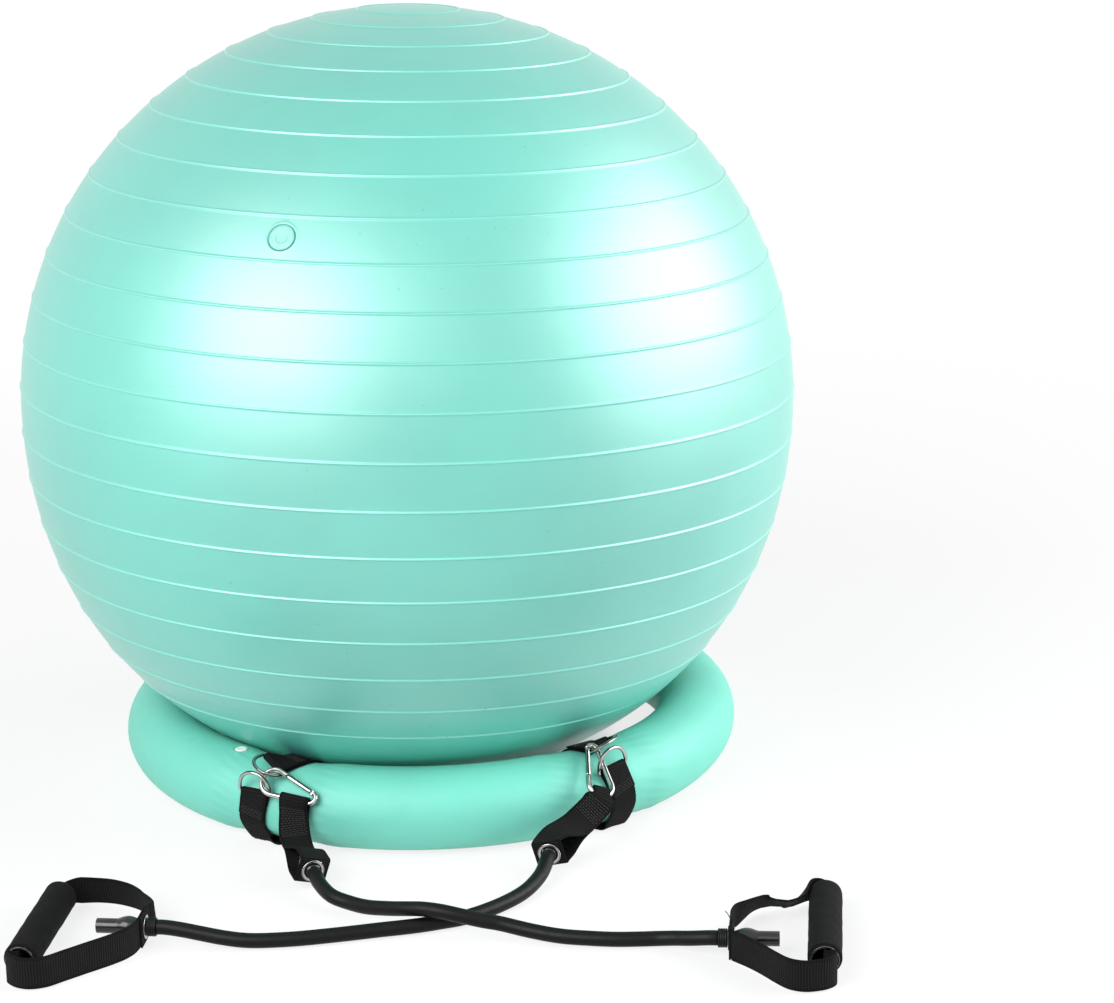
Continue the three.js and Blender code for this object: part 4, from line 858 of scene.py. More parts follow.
def tube_latex(settings, name="tube_latex", coat=0.0):
    """Black latex, matte or stretched to a gloss, with lengthwise flow lines and dust."""
    r = Recipe(name, Specular_IOR_Level=0.15, Coat_Weight=coat, Coat_Roughness=0.12)
    base = tuple(settings.tube_colour)
    u, _ = r.cloth()
    lines = r.maths("SINE", u * 2600 + r.noise(0.02, 2) * 5) * 0.5 + 0.5
    dust = r.noise(0.0035, 4).above(0.5, 0.8)
    tone = r.mix(lines * 0.35, linear(base), linear(base, 1.5))
    tone = r.mix(dust * 0.22, tone, linear(base, 3.2))
    return r.finish(tone, 0.4 + dust * 0.2 + lines * 0.05, lines * 0.4 + dust, 0.00005, 0.5)


def collar_rubber(settings):
    """Moulded rubber, slightly glossy on its ribs."""
    r = Recipe("collar_rubber", Specular_IOR_Level=0.2)
    grain = r.noise(0.0012, 3)
    dust = r.noise(0.005, 3).above(0.55, 0.8)
    base = tuple(settings.tube_colour)
    tone = r.mix(dust * 0.3 + grain * 0.15, linear(base, 0.55), linear(base, 1.8))
    return r.finish(tone, 0.4 + grain * 0.15 + dust * 0.15, grain, 0.00008, 0.6)


def liner_plastic(settings):
    """Black moulded plastic with a soft gloss and fine scratches."""
    r = Recipe("liner_plastic", Coat_Weight=0.6, Coat_Roughness=0.12)
    scratch = r.noise(0.0012, 4, stretch=(1, 0.12, 1)).above(0.6, 0.7)
    cloud = r.noise(0.01, 3)
    tone = r.mix(scratch * 0.3 + cloud * 0.1, linear((0.07, 0.07, 0.072)),
                 linear((0.26, 0.26, 0.26)))
    return r.finish(tone, 0.2 + cloud * 0.12 + scratch * 0.2, scratch, 0.00004, 0.4)


def grip_foam(settings):
    """Closed-cell foam: small open pores, a dull skin and paler rubbed patches."""
    r = Recipe("grip_foam", Specular_IOR_Level=0.12)
    base = tuple(settings.foam_colour)
    pores = r.node("ShaderNodeTexVoronoi", None, {"Vector": r.place(), "Scale": 900.0})
    cells = pores.above(0.05, 0.6)
    cloud = r.noise(0.02, 4)
    # Painted shade: the pores are painted darker than the foam's skin between them.
    tone = r.mix(cells, linear(base, 0.4), linear(base, 1.3))
    tone = r.mix(cloud.above(0.5, 0.8) * 0.25, tone, linear(base, 2.5))
    fleck = r.noise(0.0022, 1).above(0.74, 0.78)
    tone = r.mix(fleck * 0.3, tone, linear(base, 16.0))
    return r.finish(tone, 0.82 + cells * 0.1 - cloud * 0.05, cells + cloud * 0.6,
                    0.00015, 0.6)


MATERIALS = {}


def material(name):
    """The finish of that name, made once."""
    groups = {
        "ball_vinyl": ball_vinyl, "ring_vinyl": ring_vinyl, "plug_vinyl": stopper_vinyl,
        "tinted_vinyl": lambda settings: stopper_vinyl(settings, "tinted_vinyl", 0.6),
        "turned_nickel": lambda settings: bright_metal(settings, "turned_nickel", True),
        "stretched_latex": lambda settings: tube_latex(settings, "stretched_latex", 0.8),
        "webbing": webbing_yarn, "thread": stitch_thread, "nickel": bright_metal,
        "latex": tube_latex, "sleeve_rubber": collar_rubber, "core_plastic": liner_plastic,
        "grip_foam": grip_foam,
    }
    if name not in MATERIALS:
        scene = bpy.context.scene
        vinyl = name.endswith("_vinyl")
        MATERIALS[name] = groups[name](scene.chair_vinyl if vinyl else scene.chair_bands)
    return MATERIALS[name]


def body_with(node):
    """The moving body that holds a node of the solids."""
    bodies = frame["record"]["behaviour"]["bodies"]
    return next(body for body, nodes in bodies.items() if node in nodes)


def dressed(piece, finish):
    """A piece in one finish."""
    piece.data.materials.clear()
    piece.data.materials.append(material(finish))
    return piece


def stand_for(piece, node, slot, finish=None):
    """A finished piece rides on its node's body, in that node's place."""
    dressed(piece, finish or slot)
    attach(piece, body_with(node))
    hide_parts(node)
    return piece


def add_to(piece, body, finish):
    """A small piece that no node of the solids stands for."""
    dressed(piece, finish)
    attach(piece, body)
    return piece


# Ball and ring


def ball_tilt():
    """The ball's own axis: turned about Y, then about X."""
    about_x, about_y = np.radians(BALL_TILT_DEG)
    turn_x = np.array([[1, 0, 0], [0, np.cos(about_x), -np.sin(about_x)],
                       [0, np.sin(about_x), np.cos(about_x)]])
    turn_y = np.array([[np.cos(about_y), 0, np.sin(about_y)], [0, 1, 0],
                       [-np.sin(about_y), 0, np.cos(about_y)]])
    return turn_x @ turn_y


def plug_axis():
    """The way that the ball's stopper points."""
    return pointing(*np.radians([BALL_PLUG["azimuth"], BALL_PLUG["latitude"]]))


def ball_radius(direction):
    """Distance from the middle: R (1 + sag sin^2(2 latitude)) below the middle, less what the
    ring presses in there, a cos^2 hump round the circle where the two meet. It also gives how
    far each point lies in the flattened part, 0 to 1."""
    latitude = np.arcsin(direction[..., 2])
    sag = np.where(latitude < 0, BALL_SAG_SHARE * np.sin(2 * latitude) ** 2, 0)
    free = BALL_RADIUS * (1 + sag)
    surface = BALL_CENTRE + direction * free[..., None]
    around = np.arctan2(surface[..., 1], surface[..., 0])
    middle = np.stack([RING_MID_RADIUS * np.cos(around), RING_MID_RADIUS * np.sin(around),
                       np.full_like(around, RING_HEIGHT)], -1) - BALL_CENTRE
    away = np.linalg.norm(middle, axis=-1)
    held = free + SEAT_GAP + RING_TUBE_RADIUS - away
    spread = (latitude - np.arcsin(middle[..., 2] / away)) / np.radians(BALL_DENT_SPREAD_DEG)
    dent = hump(spread)
    return free - np.maximum(held, 0) * dent, eased((dent - 0.75) / 0.15)


def refined(coarse, centre, half, step):
    """Coarse values, replaced by finer ones near a centre."""
    coarse = np.asarray(coarse, float)
    kept = coarse[np.abs(coarse - centre) > half]
    return np.sort(np.concatenate([kept, np.arange(centre - half, centre + half, step)]))


def make_ball(settings):
    """Directions on a grid of azimuth and latitude about the tilted axis, times the radius,
    plus cos^2 ribs, less a round pocket for the stopper; the foot is cut off flat."""
    half = np.degrees(settings.rib_width / MM / BALL_RADIUS / 2)
    ribs = SEAM_LATITUDE_DEG + RIB_PITCH_DEG * np.arange(-RIBS_BELOW_SEAM, RIBS_ABOVE_SEAM + 1)
    shares = np.array([-1.5, -1, -0.75, -0.5, -0.25, 0, 0.25, 0.5, 0.75, 1, 1.5])
    axis = plug_axis() @ ball_tilt()
    own_latitude = np.degrees(np.arcsin(axis[2]))
    own_azimuth = np.degrees(np.arctan2(axis[1], axis[0]))
    near = np.degrees((BALL_PLUG["cap"] + 3) / BALL_RADIUS)
    plain = np.concatenate([np.arange(-89.2, -46, 1.3), np.arange(-43, 89.5, 1.6)])
    plain = plain[np.abs(plain[:, None] - ribs).min(1) > 1.6 * half]
    latitudes = np.sort(np.concatenate([(ribs[:, None] + half * shares).ravel(), plain]))
    latitudes = refined(latitudes, own_latitude, near, 0.12)
    near_azimuth = near / np.cos(np.radians(own_latitude))
    azimuths = refined(np.arange(-180, 180, 1.6), own_azimuth, near_azimuth, 0.15)
    latitude, azimuth = np.meshgrid(np.radians(latitudes), np.radians(azimuths), indexing="ij")
    direction = pointing(azimuth, latitude) @ ball_tilt().T
    share = np.abs(latitudes[:, None] - ribs).min(1) / half
    crest = hump(share)[:, None] + 0 * azimuth
    radius, pressed = ball_radius(direction)
    crest = crest * (1 - pressed)
    aside = np.linalg.norm(np.cross(direction, plug_axis()), axis=-1) * BALL_RADIUS
    facing = direction @ plug_axis() > 0
    rim = BALL_PLUG["cap"] + GAP
    pocket = np.where(facing, 1 - eased((aside - rim) / 0.7), 0)
    lip = np.where(facing, np.exp(-((aside - rim - 1.3) / 0.8) ** 2), 0)
    proud = (crest * settings.rib_height / MM * (1 - pocket)
             - pocket * BALL_PLUG["pocket"] + lip * 0.25)
    rows = BALL_CENTRE + direction * (radius + proud)[..., None]
    rows[..., 2] = np.maximum(rows[..., 2], 0)
    piece = skin("ribbed_ball", rows, np.linspace(0, 1, len(azimuths) + 1),
                 np.append((latitudes + 90) / 180, 1), rib=crest)
    return stand_for(piece, "ball_skin", "ball_vinyl")


def make_ring(settings):
    """A tube round the ring, narrowed at each tether by a smooth waist with fine puckers on
    both sides of it, and with a pocket for the stopper on top."""
    azimuths = refined(np.arange(-180, 180, 1.25), RING_PLUG["azimuth"], 2.2, 0.14)
    sections = refined(np.arange(0, 360, 5.0), 90, 14, 0.9)
    azimuth, section = np.meshgrid(azimuths, sections, indexing="ij")
    away = np.abs(azimuth[..., None] - np.array(WAIST_AZIMUTHS)).min(-1)
    waist = 1 - eased((away - WAIST_HALF_DEG) / WAIST_RAMP_DEG)
    beside = np.exp(-((away - WAIST_HALF_DEG - 4) / 3.2) ** 2)
    folds = np.sin(np.radians(section) * 23 + azimuth * 0.9)
    outside = eased((np.cos(np.radians(section)) + 0.1) / 0.4)
    pucker = beside * folds * outside * settings.pucker / MM
    plain = ring_point(azimuth, section, 0 * azimuth)
    seat = ring_point(RING_PLUG["azimuth"], 90, 0.0)
    aside = np.linalg.norm((plain - seat)[..., :2], axis=-1)
    over = np.abs(section - 90) < 30
    pocket = np.where(over, 1 - eased((aside - RING_PLUG["cap"] - GAP) / 0.6), 0)
    weld = np.exp(-((np.abs(section - 180) - 8) / 1.6) ** 2)
    stand = -WAIST_DEPTH * waist + pucker - pocket * (RING_PLUG["pocket"] + 0.5)
    rows = ring_point(azimuth, section, stand + weld * 0.25)
    rows[..., 2] = np.maximum(rows[..., 2], 0)
    turn = 2 * np.pi * RING_MID_RADIUS * MM
    u = np.append(sections, 360) / 360 * 2 * np.pi * RING_TUBE_RADIUS * MM
    v = (np.append(azimuths, 180) + 180) / 360 * turn
    # This attribute is painted shade, highest in the sunken troughs of the puckers on the ring's
    # outside.
    piece = skin("ring_base", rows, u, v, closed=True,
                 fold=np.clip(beside * outside * (0.5 - 0.5 * folds), 0, 1), weld=weld)
    return stand_for(piece, "ring_skin", "ring_vinyl")


def stopper(name, plug, origin, axis):
    """A cap with a sunken middle inside a grip ring, on a stem that tapers to its tip."""
    seat = GAP - plug["pocket"]
    top, cap, stem = seat + plug["height"], plug["cap"], plug["stem"]
    profile = np.vstack([
        [(0, top - 0.35), (cap * 0.42, top - 0.35)],
        [(cap * 0.5, top), (cap * 0.86, top)],
        [(cap, top - plug["height"] * 0.4), (cap, seat), (stem, seat)],
        [(stem, seat - plug["length"] * 0.5), (stem * 0.97, seat - plug["length"] * 0.62)],
        [(stem * 0.9, seat - plug["length"] * 0.8), (stem * 0.5, seat - plug["length"])],
        [(0, seat - plug["length"])],
    ])
    profile = rounded(profile, 0.5, 3)
    profile[0, 0] = profile[-1, 0] = 0.02
    return lathe(name, profile, 48, origin, axis, closed=False)


# Webbing


def webbing_rows(path, wides, widths):
    """A flat band with round edges carried along a path: across is the width direction made
    square to the tangent, and the third direction is the tangent crossed with it."""
    along = tangents(path)
    across = unit(without(wides, along))
    thick = np.cross(along, across)
    r = WEBBING_THICKNESS / 2
    flat = np.linspace(-1, 1, 9)
    bend = np.linspace(-np.pi / 2, np.pi / 2, 5)[1:-1]
    a = np.concatenate([flat, np.ones(3), flat[::-1], -np.ones(3)])
    extra = np.concatenate([0 * flat, np.cos(bend) * r, 0 * flat, -np.cos(bend) * r])
    b = np.concatenate([0 * flat - r, np.sin(bend) * r, 0 * flat + r, -np.sin(bend) * r])
    aside = a * (widths[:, None] / 2 - r) + extra
    rows = path[:, None] + aside[..., None] * across[:, None] + b[:, None] * thick[:, None]
    return rows, np.append(a, a[0])


def over_floor(heights):
    """Heights over the floor's gap, where those under a small k become k exp(h / k - 1)."""
    h, k = heights - FLOOR_GAP, FLOOR_PRESS
    return FLOOR_GAP + np.where(h < k, k * np.exp(np.minimum(h, k) / k - 1), h)


def webbing(name, stops, steps=5):
    """Webbing through stops of middle, width direction and width, along a smooth curve that
    lies on the floor where it would dip under it. A stop on the one before it is left out."""
    middles, wides, widths = (np.array(part, float) for part in zip(*stops))
    apart = np.linalg.norm(np.diff(middles, axis=0), axis=1) > SAME_STOP
    kept = np.append(True, apart)
    extras = np.column_stack([wides, widths])[kept]
    path, extras = smooth_path(middles[kept], steps, extras)
    rows, a = webbing_rows(path, extras[:, :3], extras[:, 3])
    rows[..., 2] = over_floor(rows[..., 2])
    runs = lengths_along(path) * MM
    half = bpy.context.scene.chair_bands.webbing_width / 2
    return skin(name, rows, a * half, np.append(runs, runs[-1])), path, extras[:, :3]


def strap_azimuth(strap, section_deg):
    """Azimuth of a strap's middle at a section angle, by straight blends of its table."""
    sections, azimuths = zip(*strap[::-1])
    return np.interp(section_deg, sections, azimuths)


def bar_turn(place, sense):
    """Stops round a bar: lift cos(angle) + reach sin(angle), a little over half a turn."""
    origin, x, _ = ring_frame(place)
    _, _, over, off = ring_axes(place[0], place[1])
    wide = x * sense
    lift = unit(without(off, wide))
    reach = np.cross(lift, wide)
    if reach @ over * sense < 0:
        reach = -reach
    span = np.pi + 2 * np.radians(STRAP_TURN_EXTRA_DEG)
    angles = np.pi / 2 + sense * span * (np.linspace(0, 1, 9) - 0.5)
    return [(origin + DRING_LOOP * (lift * np.cos(t) + reach * np.sin(t)), wide)
            for t in angles]


def strap_stops(tether):
    """The strap's stops: lap, turn round the front bar, down the tube's outside, under it,
    up its inside, turn round the rear bar and lap again."""
    strap, front, rear = tether["strap"], tether["front"], tether["rear"]
    start, end = strap[0][0], strap[-1][0]
    rise, lap = (np.degrees(run / RING_TUBE_RADIUS) for run in (STRAP_RISE_RUN, STRAP_LAP))

    def on_tube(section, layer):
        azimuth = strap_azimuth(strap, section)
        return ring_point(azimuth, section, layer), ring_axes(azimuth, 0)[1]

    def rising(section, layer, place, sense):
        middle, wide = on_tube(section, layer)
        off = ring_axes(strap_azimuth(strap, section), section)[3]
        turned = unit(without(ring_frame(place)[1] * sense, off))
        return middle, unit(wide * (1 - STRAP_SKEW_SHARE) + turned * STRAP_SKEW_SHARE)

    def on_floor(section, run, bend):
        azimuth = strap_azimuth(strap, section)
        outward, around, _, _ = ring_axes(azimuth, 0)
        low = FLOOR_GAP + WEBBING_THICKNESS / 2 + bend
        return outward * (RING_MID_RADIUS + run) + UP * low, around

    def arc(from_deg, to_deg):
        steps = int(np.ceil((from_deg - to_deg) / STRAP_STEP_DEG))
        return [on_tube(section, INNER_LAYER)
                for section in np.linspace(from_deg, to_deg, steps + 1)[:-1]]

    far, leaves, back = STRAP_FLOOR_RUN + STRAP_FLOOR_BEND, STRAP_LEAVES_DEG, STRAP_RETURNS_DEG
    stops = [
        on_tube(start - lap, OUTER_LAYER),
        rising(start - rise, OUTER_LAYER, front, 1),
        *bar_turn(front, 1),
        rising(start - rise, INNER_LAYER, front, 1),
        *arc(start - rise, leaves)[1:],
        on_tube(leaves, INNER_LAYER),
        on_floor(leaves - STRAP_STEP_DEG, far, STRAP_FLOOR_BEND),
        on_floor(leaves - 2 * STRAP_STEP_DEG, STRAP_FLOOR_RUN, 0),
        on_floor(-90, 0, 0),
        on_floor(back + 2 * STRAP_STEP_DEG, -STRAP_FLOOR_RUN, 0),
        on_floor(back + STRAP_STEP_DEG, -far, STRAP_FLOOR_BEND),
        *arc(back, end + rise),
        rising(end + rise, INNER_LAYER, rear, -1),
        *bar_turn(rear, -1),
        rising(end + rise, OUTER_LAYER, rear, -1),
        on_tube(end + lap, OUTER_LAYER),
    ]
    width = strip_width()
    return [(middle, wide, width) for middle, wide in stops]


def along_bar(run):
    """A point on the gate's line of a hook, from its small end."""
    start = np.array([HOOK_SMALL_X + HOOK_SMALL * np.cos(HOOK_TAPER),
                      HOOK_SMALL * np.sin(HOOK_TAPER)])
    return start + run * np.array([-np.sin(HOOK_TAPER), np.cos(HOOK_TAPER)])


def hook_seat(side):
    """Where a band's anchor loop hangs in its hook: middle, width direction and way out."""
    origin, x, y = ring_frame(TETHERS[side]["hook"])
    band = BANDS[side]
    if band["big_end_deg"] is None:
        a, b = along_bar(HOOK_BAR * (1 - band["bar_share"]))
        return (origin + x * a - y * b,
                x * np.sin(HOOK_TAPER) + y * np.cos(HOOK_TAPER),
                x * np.cos(HOOK_TAPER) - y * np.sin(HOOK_TAPER), 0,
                strip_width())
    angle = np.radians(band["big_end_deg"])
    out = x * np.cos(angle) + y * np.sin(angle)
    return (origin + out * HOOK_BIG, x * np.sin(angle) - y * np.cos(angle), out,
            GATHERED_INSET, GATHERED_WIDTH)


def loop_face(side):
    """Face of the anchor loop: its middle, the way that the tube leaves it and its width."""
    x, y, z, heading, drop, roll = BANDS[side]["face"]
    heading, drop, roll = np.radians([heading, drop, roll])
    out = pointing(heading, -drop)
    wide = unit(np.cross(UP, out))
    wide = wide * np.cos(roll) + np.cross(out, wide) * np.sin(roll)
    return np.array([x, y, z], float), out, wide


def anchor_layers(side):
    """A function that gives the middle, width direction, width and outward side of the loop's
    two layers at a run from the hook, and the spine's length. The spine is a cubic Bezier from
    the hook to the face; half the gap between the layers eases from the wire's size down to
    touching, and out again to the face's size."""
    band = BANDS[side]
    centre, wide, out, inset, narrow = hook_seat(side)
    face, face_out, face_wide = loop_face(side)
    full = strip_width()
    down = without(out * band["hang"] - UP * band["sag"], wide)
    p = [centre, centre + down, face - face_out * band["reach"], face]
    t = np.linspace(0, 1, 401)[:, None]
    spine = (p[0] * (1 - t) ** 3 + p[1] * 3 * t * (1 - t) ** 2
             + p[2] * 3 * t * t * (1 - t) + p[3] * t ** 3)
    slopes = unit((p[1] - p[0]) * (1 - t) ** 2 + (p[2] - p[1]) * 2 * t * (1 - t)
                  + (p[3] - p[2]) * t * t)
    runs = lengths_along(spine)
    length = runs[-1]
    if wide @ face_wide < 0:
        wide = -wide

    def at(run, layer):
        point, along = blended(run, runs, spine), unit(blended(run, runs, slopes))
        here = wide + (face_wide - wide) * eased(run / length)
        here = unit(without(here, along))
        lift = np.cross(along, here)
        closing = HOOK_LOOP + (LAYER_PITCH / 2 - HOOK_LOOP) * eased(run / ANCHOR_CLOSE_RUN)
        opening = eased((run - length + ANCHOR_POCKET + ANCHOR_TAPER) / ANCHOR_TAPER)
        half = closing + (ANCHOR_FACE_HALF - closing) * opening
        width = narrow + (full - narrow) * eased(run / HOOK_WIRE / 2)
        return point + lift * layer * half, here, width, lift * layer

    return at, length, (centre, wide, unit(down), inset, narrow)


def anchor_stops(side):
    """One layer, round the face, the other layer, round the hook and back to the first."""
    at, length, (centre, wide, down, inset, narrow) = anchor_layers(side)
    face, face_out, face_wide = loop_face(side)
    full = strip_width()
    butt, flat_end = length * ANCHOR_BUTT_SHARE, length - ANCHOR_CORNER

    def layer(start, end, which):
        steps = int(np.ceil((end - start) / ANCHOR_STOP_STEP))
        return [at(run, which)[:3] for run in np.linspace(start, end, steps + 1)]

    lift = np.cross(face_out, face_wide)
    bend = ANCHOR_CORNER * (1 - np.sqrt(0.5))
    edge = ANCHOR_FACE_HALF - ANCHOR_CORNER
    across = [(bend, bend - ANCHOR_FACE_HALF), (0, -edge), (0, 0), (0, edge),
              (bend, ANCHOR_FACE_HALF - bend)]
    face_stops = [(face - face_out * back + lift * share, face_wide, full)
                  for back, share in across]
    turn = np.cross(down, wide)
    round_hook = [
        (centre - down * (inset + HOOK_LOOP * np.sin(t)) + turn * HOOK_LOOP * np.cos(t),
         wide, narrow) for t in np.linspace(0, np.pi, 7)]
    return [*layer(butt + ANCHOR_BUTT, flat_end, -1), *face_stops,
            *layer(0, flat_end, 1)[::-1], *round_hook, *layer(0, butt, -1)]


def handle_place(side):
    """Origin of a handle, the way to its grip and the way along it."""
    handle = BANDS[side]["handle"]
    heading = np.radians(handle["heading"])
    to_grip = np.array([np.cos(heading), np.sin(heading), 0])
    origin = np.array([handle["x"], handle["y"], HANDLE_HEIGHT])
    return origin, to_grip, np.cross(UP, to_grip) * handle["turn"]


def handle_stops(side):
    """Round the handle: from the face along the far side, through the liner and back along
    the near side, leaning inwards and gathered where the tables say."""
    handle = BANDS[side]["handle"]
    origin, to_grip, along_grip = handle_place(side)
    full = strip_width()
    face_end, reach, slide = full / 2, handle["reach"], handle["slide"]
    far_end, near_end = slide + LINER_LENGTH / 2, slide - LINER_LENGTH / 2

    def at(u, v):
        return origin + to_grip * u + along_grip * v

    def side_of(route, gather, leans):
        path = smooth_path([(u, v, 0) for u, v in route], 40)
        count = int(np.ceil(lengths_along(path)[-1] / HANDLE_STOP_STEP)) + 1
        path = spaced(path, count)
        slopes = tangents(path)
        shares = np.linspace(0, 1, count)
        lean = np.radians(np.interp(shares, *zip(*leans)))[:, None]
        inward = to_grip * slopes[:, 1:2] - along_grip * slopes[:, :1]
        wides = UP * np.cos(lean) + inward * np.sin(lean)
        left = lengths_along(path)[-1] * (1 - shares)
        gathered = 1 - eased((left - LINER_PROUD) / gather)
        widths = full + (LINER_WEBBING - full) * gathered
        return [(at(u, v), wide, width)
                for (u, v, _), wide, width in zip(path, wides, widths)]

    far = [(0, face_end), *((u * reach, v * far_end) for u, v in handle["far"]),
           (reach, far_end)]
    near = [(LAYER_PITCH, -face_end), *((u * reach, v * near_end) for u, v in handle["near"]),
            (reach, near_end)]
    return [
        (at(0, GAP - face_end), UP, full), (at(0, 0), UP, full),
        *side_of(far, handle["gather"], handle["leans"]),
        *side_of(near, NEAR_GATHER, [(0, 0), (1, 0)])[::-1],
        (at(LAYER_PITCH, 0), UP, full), (at(LAYER_PITCH, face_end - GAP), UP, full),
    ]


def stitches(name, starts, ends):
    """Short rounded stitches: rings of points, thin at both ends, from each start to its end,
    worked out for all stitches at once."""
    starts, ends = np.asarray(starts, float), np.asarray(ends, float)
    along = unit(ends - starts)
    first = unit(np.cross(along, STITCH_HELPER))
    second = np.cross(along, first)
    shares = np.array([0, 0.12, 0.3, 0.7, 0.88, 1.0])
    thick = np.array([0.15, 0.8, 1, 1, 0.8, 0.15]) * STITCH_RADIUS
    sides = STITCH_SIDES
    angle = np.arange(sides) * 2 * np.pi / sides
    rings = (starts[:, None, None] + (ends - starts)[:, None, None] * shares[:, None, None]
             + first[:, None, None] * (thick[:, None] * np.cos(angle))[..., None]
             + second[:, None, None] * (thick[:, None] * np.sin(angle))[..., None])
    last = (len(shares) - 1) * sides
    here, j = np.meshgrid(np.arange(0, last, sides), np.arange(sides), indexing="ij")
    side = (j + 1) % sides
    quads = np.stack([here + sides + j, here + sides + side, here + side, here + j], -1)
    offsets = np.arange(len(starts))[:, None, None] * (last + sides)
    caps = np.array([np.arange(sides), last + np.arange(sides)[::-1]])
    faces = [*(quads.reshape(-1, 4) + offsets).reshape(-1, 4).tolist(),
             *(caps + offsets).reshape(-1, sides).tolist()]
    mesh = bpy.data.meshes.new(name)
    mesh.from_pydata((rings.reshape(-1, 3) * MM).tolist(), [], faces)
    mesh.polygons.foreach_set("use_smooth", np.ones(len(faces), bool))
    mesh.update()
    return linked(name, mesh)


def tack_rows(at, low, high):
    """Rows of stitches across the webbing, on a surface given as at(run, aside)."""
    starts, ends, length = [], [], STITCH_LENGTH
    asides = np.arange(-TACK_HALF, TACK_HALF - length, length * 1.35)
    for k, run in enumerate(np.arange(low, high, STITCH_PITCH)):
        for aside in asides + (k % 2) * length * 0.5:
            starts.append(at(run, aside))
            ends.append(at(run + STITCH_LEAN, aside + length))
    return starts, ends


def on_strip(path, wides, outwards):
    """A surface on a webbing strip: at(run, aside) on the side that outwards points to."""
    runs = lengths_along(path)
    along = tangents(path)
    across = unit(without(wides, along))
    thick = np.cross(along, across)

    def at(run, aside):
        run = run if run >= 0 else runs[-1] + run
        point, wide, off = (blended(run, runs, part) for part in (path, across, thick))
        return point + wide * aside + off * np.sign(off @ outwards(point)) * STITCH_STAND

    return at


def off_the_tube(point):
    """Away from the middle of the ring's tube."""
    flat = np.array([point[0], point[1], 0])
    return point - unit(flat) * RING_MID_RADIUS - UP * RING_HEIGHT


# Metal


def wire_d(name, place):
    """A D: a bar, two small corners and a bow, x = h cos(t) and y = d sin(t)^0.8."""
    origin, x, y = ring_frame(place)
    bar = np.linspace(-(DRING_HALF - DRING_CORNER), DRING_HALF - DRING_CORNER, 12)
    t = np.linspace(0, np.pi / 2, 7)[1:-1]
    corner = np.stack([DRING_HALF - DRING_CORNER + DRING_CORNER * np.sin(t),
                       DRING_CORNER * (1 - np.cos(t))], -1)
    lowest = np.arcsin((DRING_CORNER / DRING_DEPTH) ** 1.25)
    t = np.linspace(lowest, np.pi - lowest, 44)
    bow = np.stack([DRING_HALF * np.cos(t), DRING_DEPTH * np.sin(t) ** 0.8], -1)
    flat = np.vstack([np.stack([bar, 0 * bar], -1), corner, bow,
                      (corner * [-1, 1])[::-1]])
    path = origin + flat[:, :1] * x + flat[:, 1:] * y
    return round_wire(name, path, DRING_WIRE, 18, np.cross(x, y), closed=True)


def hook_points(flat, side):
    """Points of a hook's own plane, moved to its place."""
    origin, x, y = ring_frame(TETHERS[side]["hook"])
    flat = np.atleast_2d(flat)
    return origin + flat[:, :1] * x + flat[:, 1:2] * y


def hook_normal(side):
    """The direction square to a hook's own plane."""
    return np.cross(*ring_frame(TETHERS[side]["hook"])[1:])


def hook_wire(side):
    """The hook's wire: round its small end, round its big end and up to its nose."""
    t = np.linspace(HOOK_TAPER, -HOOK_TAPER, 20)
    small = np.stack([HOOK_SMALL_X + HOOK_SMALL * np.cos(t), HOOK_SMALL * np.sin(t)], -1)
    t = np.linspace(-HOOK_TAPER, HOOK_TAPER - 2 * np.pi, 44)
    big = np.stack([HOOK_BIG * np.cos(t), HOOK_BIG * np.sin(t)], -1)
    flat = np.vstack([small, big, along_bar(HOOK_BAR - HOOK_NOSE)])
    return hook_points(flat, side)


def bar_block(side, run, length, height, thickness):
    """A block in line with the gate, with slightly rounded long edges."""
    bar = np.array([-np.sin(HOOK_TAPER), np.cos(HOOK_TAPER)])
    square = np.array([-bar[1], bar[0]])
    middle = along_bar(run)
    corners = rounded([(-height, -thickness), (height, -thickness), (height, thickness),
                       (-height, thickness), (-height, -thickness)], 0.3, 2)[:-1] / 2
    ends = []
    for share in (-0.5, 0.5):
        flat = middle + bar * length * share + corners[:, :1] * square
        ends.append(hook_points(flat, side) + corners[:, 1:] * hook_normal(side))
    return skin("tool", ends)


def make_hook(side):
    """Hook, its gate and the rivet that the gate turns on."""
    normal = hook_normal(side)
    wire = round_wire(f"{side}_snap_hook", hook_wire(side), HOOK_WIRE, 20, normal)
    root, tip = HOOK_WIRE / 2, GATE_HINGE_RUN + TONGUE_HEIGHT / 2
    tongue = bar_block(side, (tip - root) / 2, tip + root, TONGUE_HEIGHT, TONGUE_THICKNESS)
    pivot = hook_points(along_bar(GATE_HINGE_RUN), side)[0]
    carve(wire, cylinder(GATE_PIN_RADIUS + GAP, -3, 3, pivot, normal, 24), joined=[tongue])
    stand_for(wire, f"{side}_hook_body", "nickel")

    ends = hook_points([along_bar(GATE_HINGE_RUN - GATE_HEEL),
                        along_bar(GATE_HINGE_RUN + GATE_LENGTH)], side)
    gate = round_wire(f"{side}_snap_gate", np.linspace(*ends, 12), GATE_RADIUS, 28, normal)
    slot_tip = GATE_HINGE_RUN + TONGUE_HEIGHT * np.sqrt(0.5) + GAP
    slot = bar_block(side, (slot_tip - GATE_HEEL) / 2, slot_tip + GATE_HEEL,
                     2 * GATE_RADIUS + 2, TONGUE_THICKNESS + 2 * GAP)
    carve(gate, slot, cylinder(GATE_PIN_RADIUS + GAP, -5, 5, pivot, normal, 24))
    stand_for(gate, f"{side}_hook_gate", "nickel")

    half = GATE_RADIUS + GAP / 2
    profile = rounded([(0.02, -half), (GATE_PIN_RADIUS, -half), (GATE_PIN_RADIUS, half),
                       (0.02, half)], 0.2, 3)
    rivet = lathe(f"{side}_gate_rivet", profile, 24, pivot, normal, closed=False)
    stand_for(rivet, f"{side}_hook_pin", "nickel")


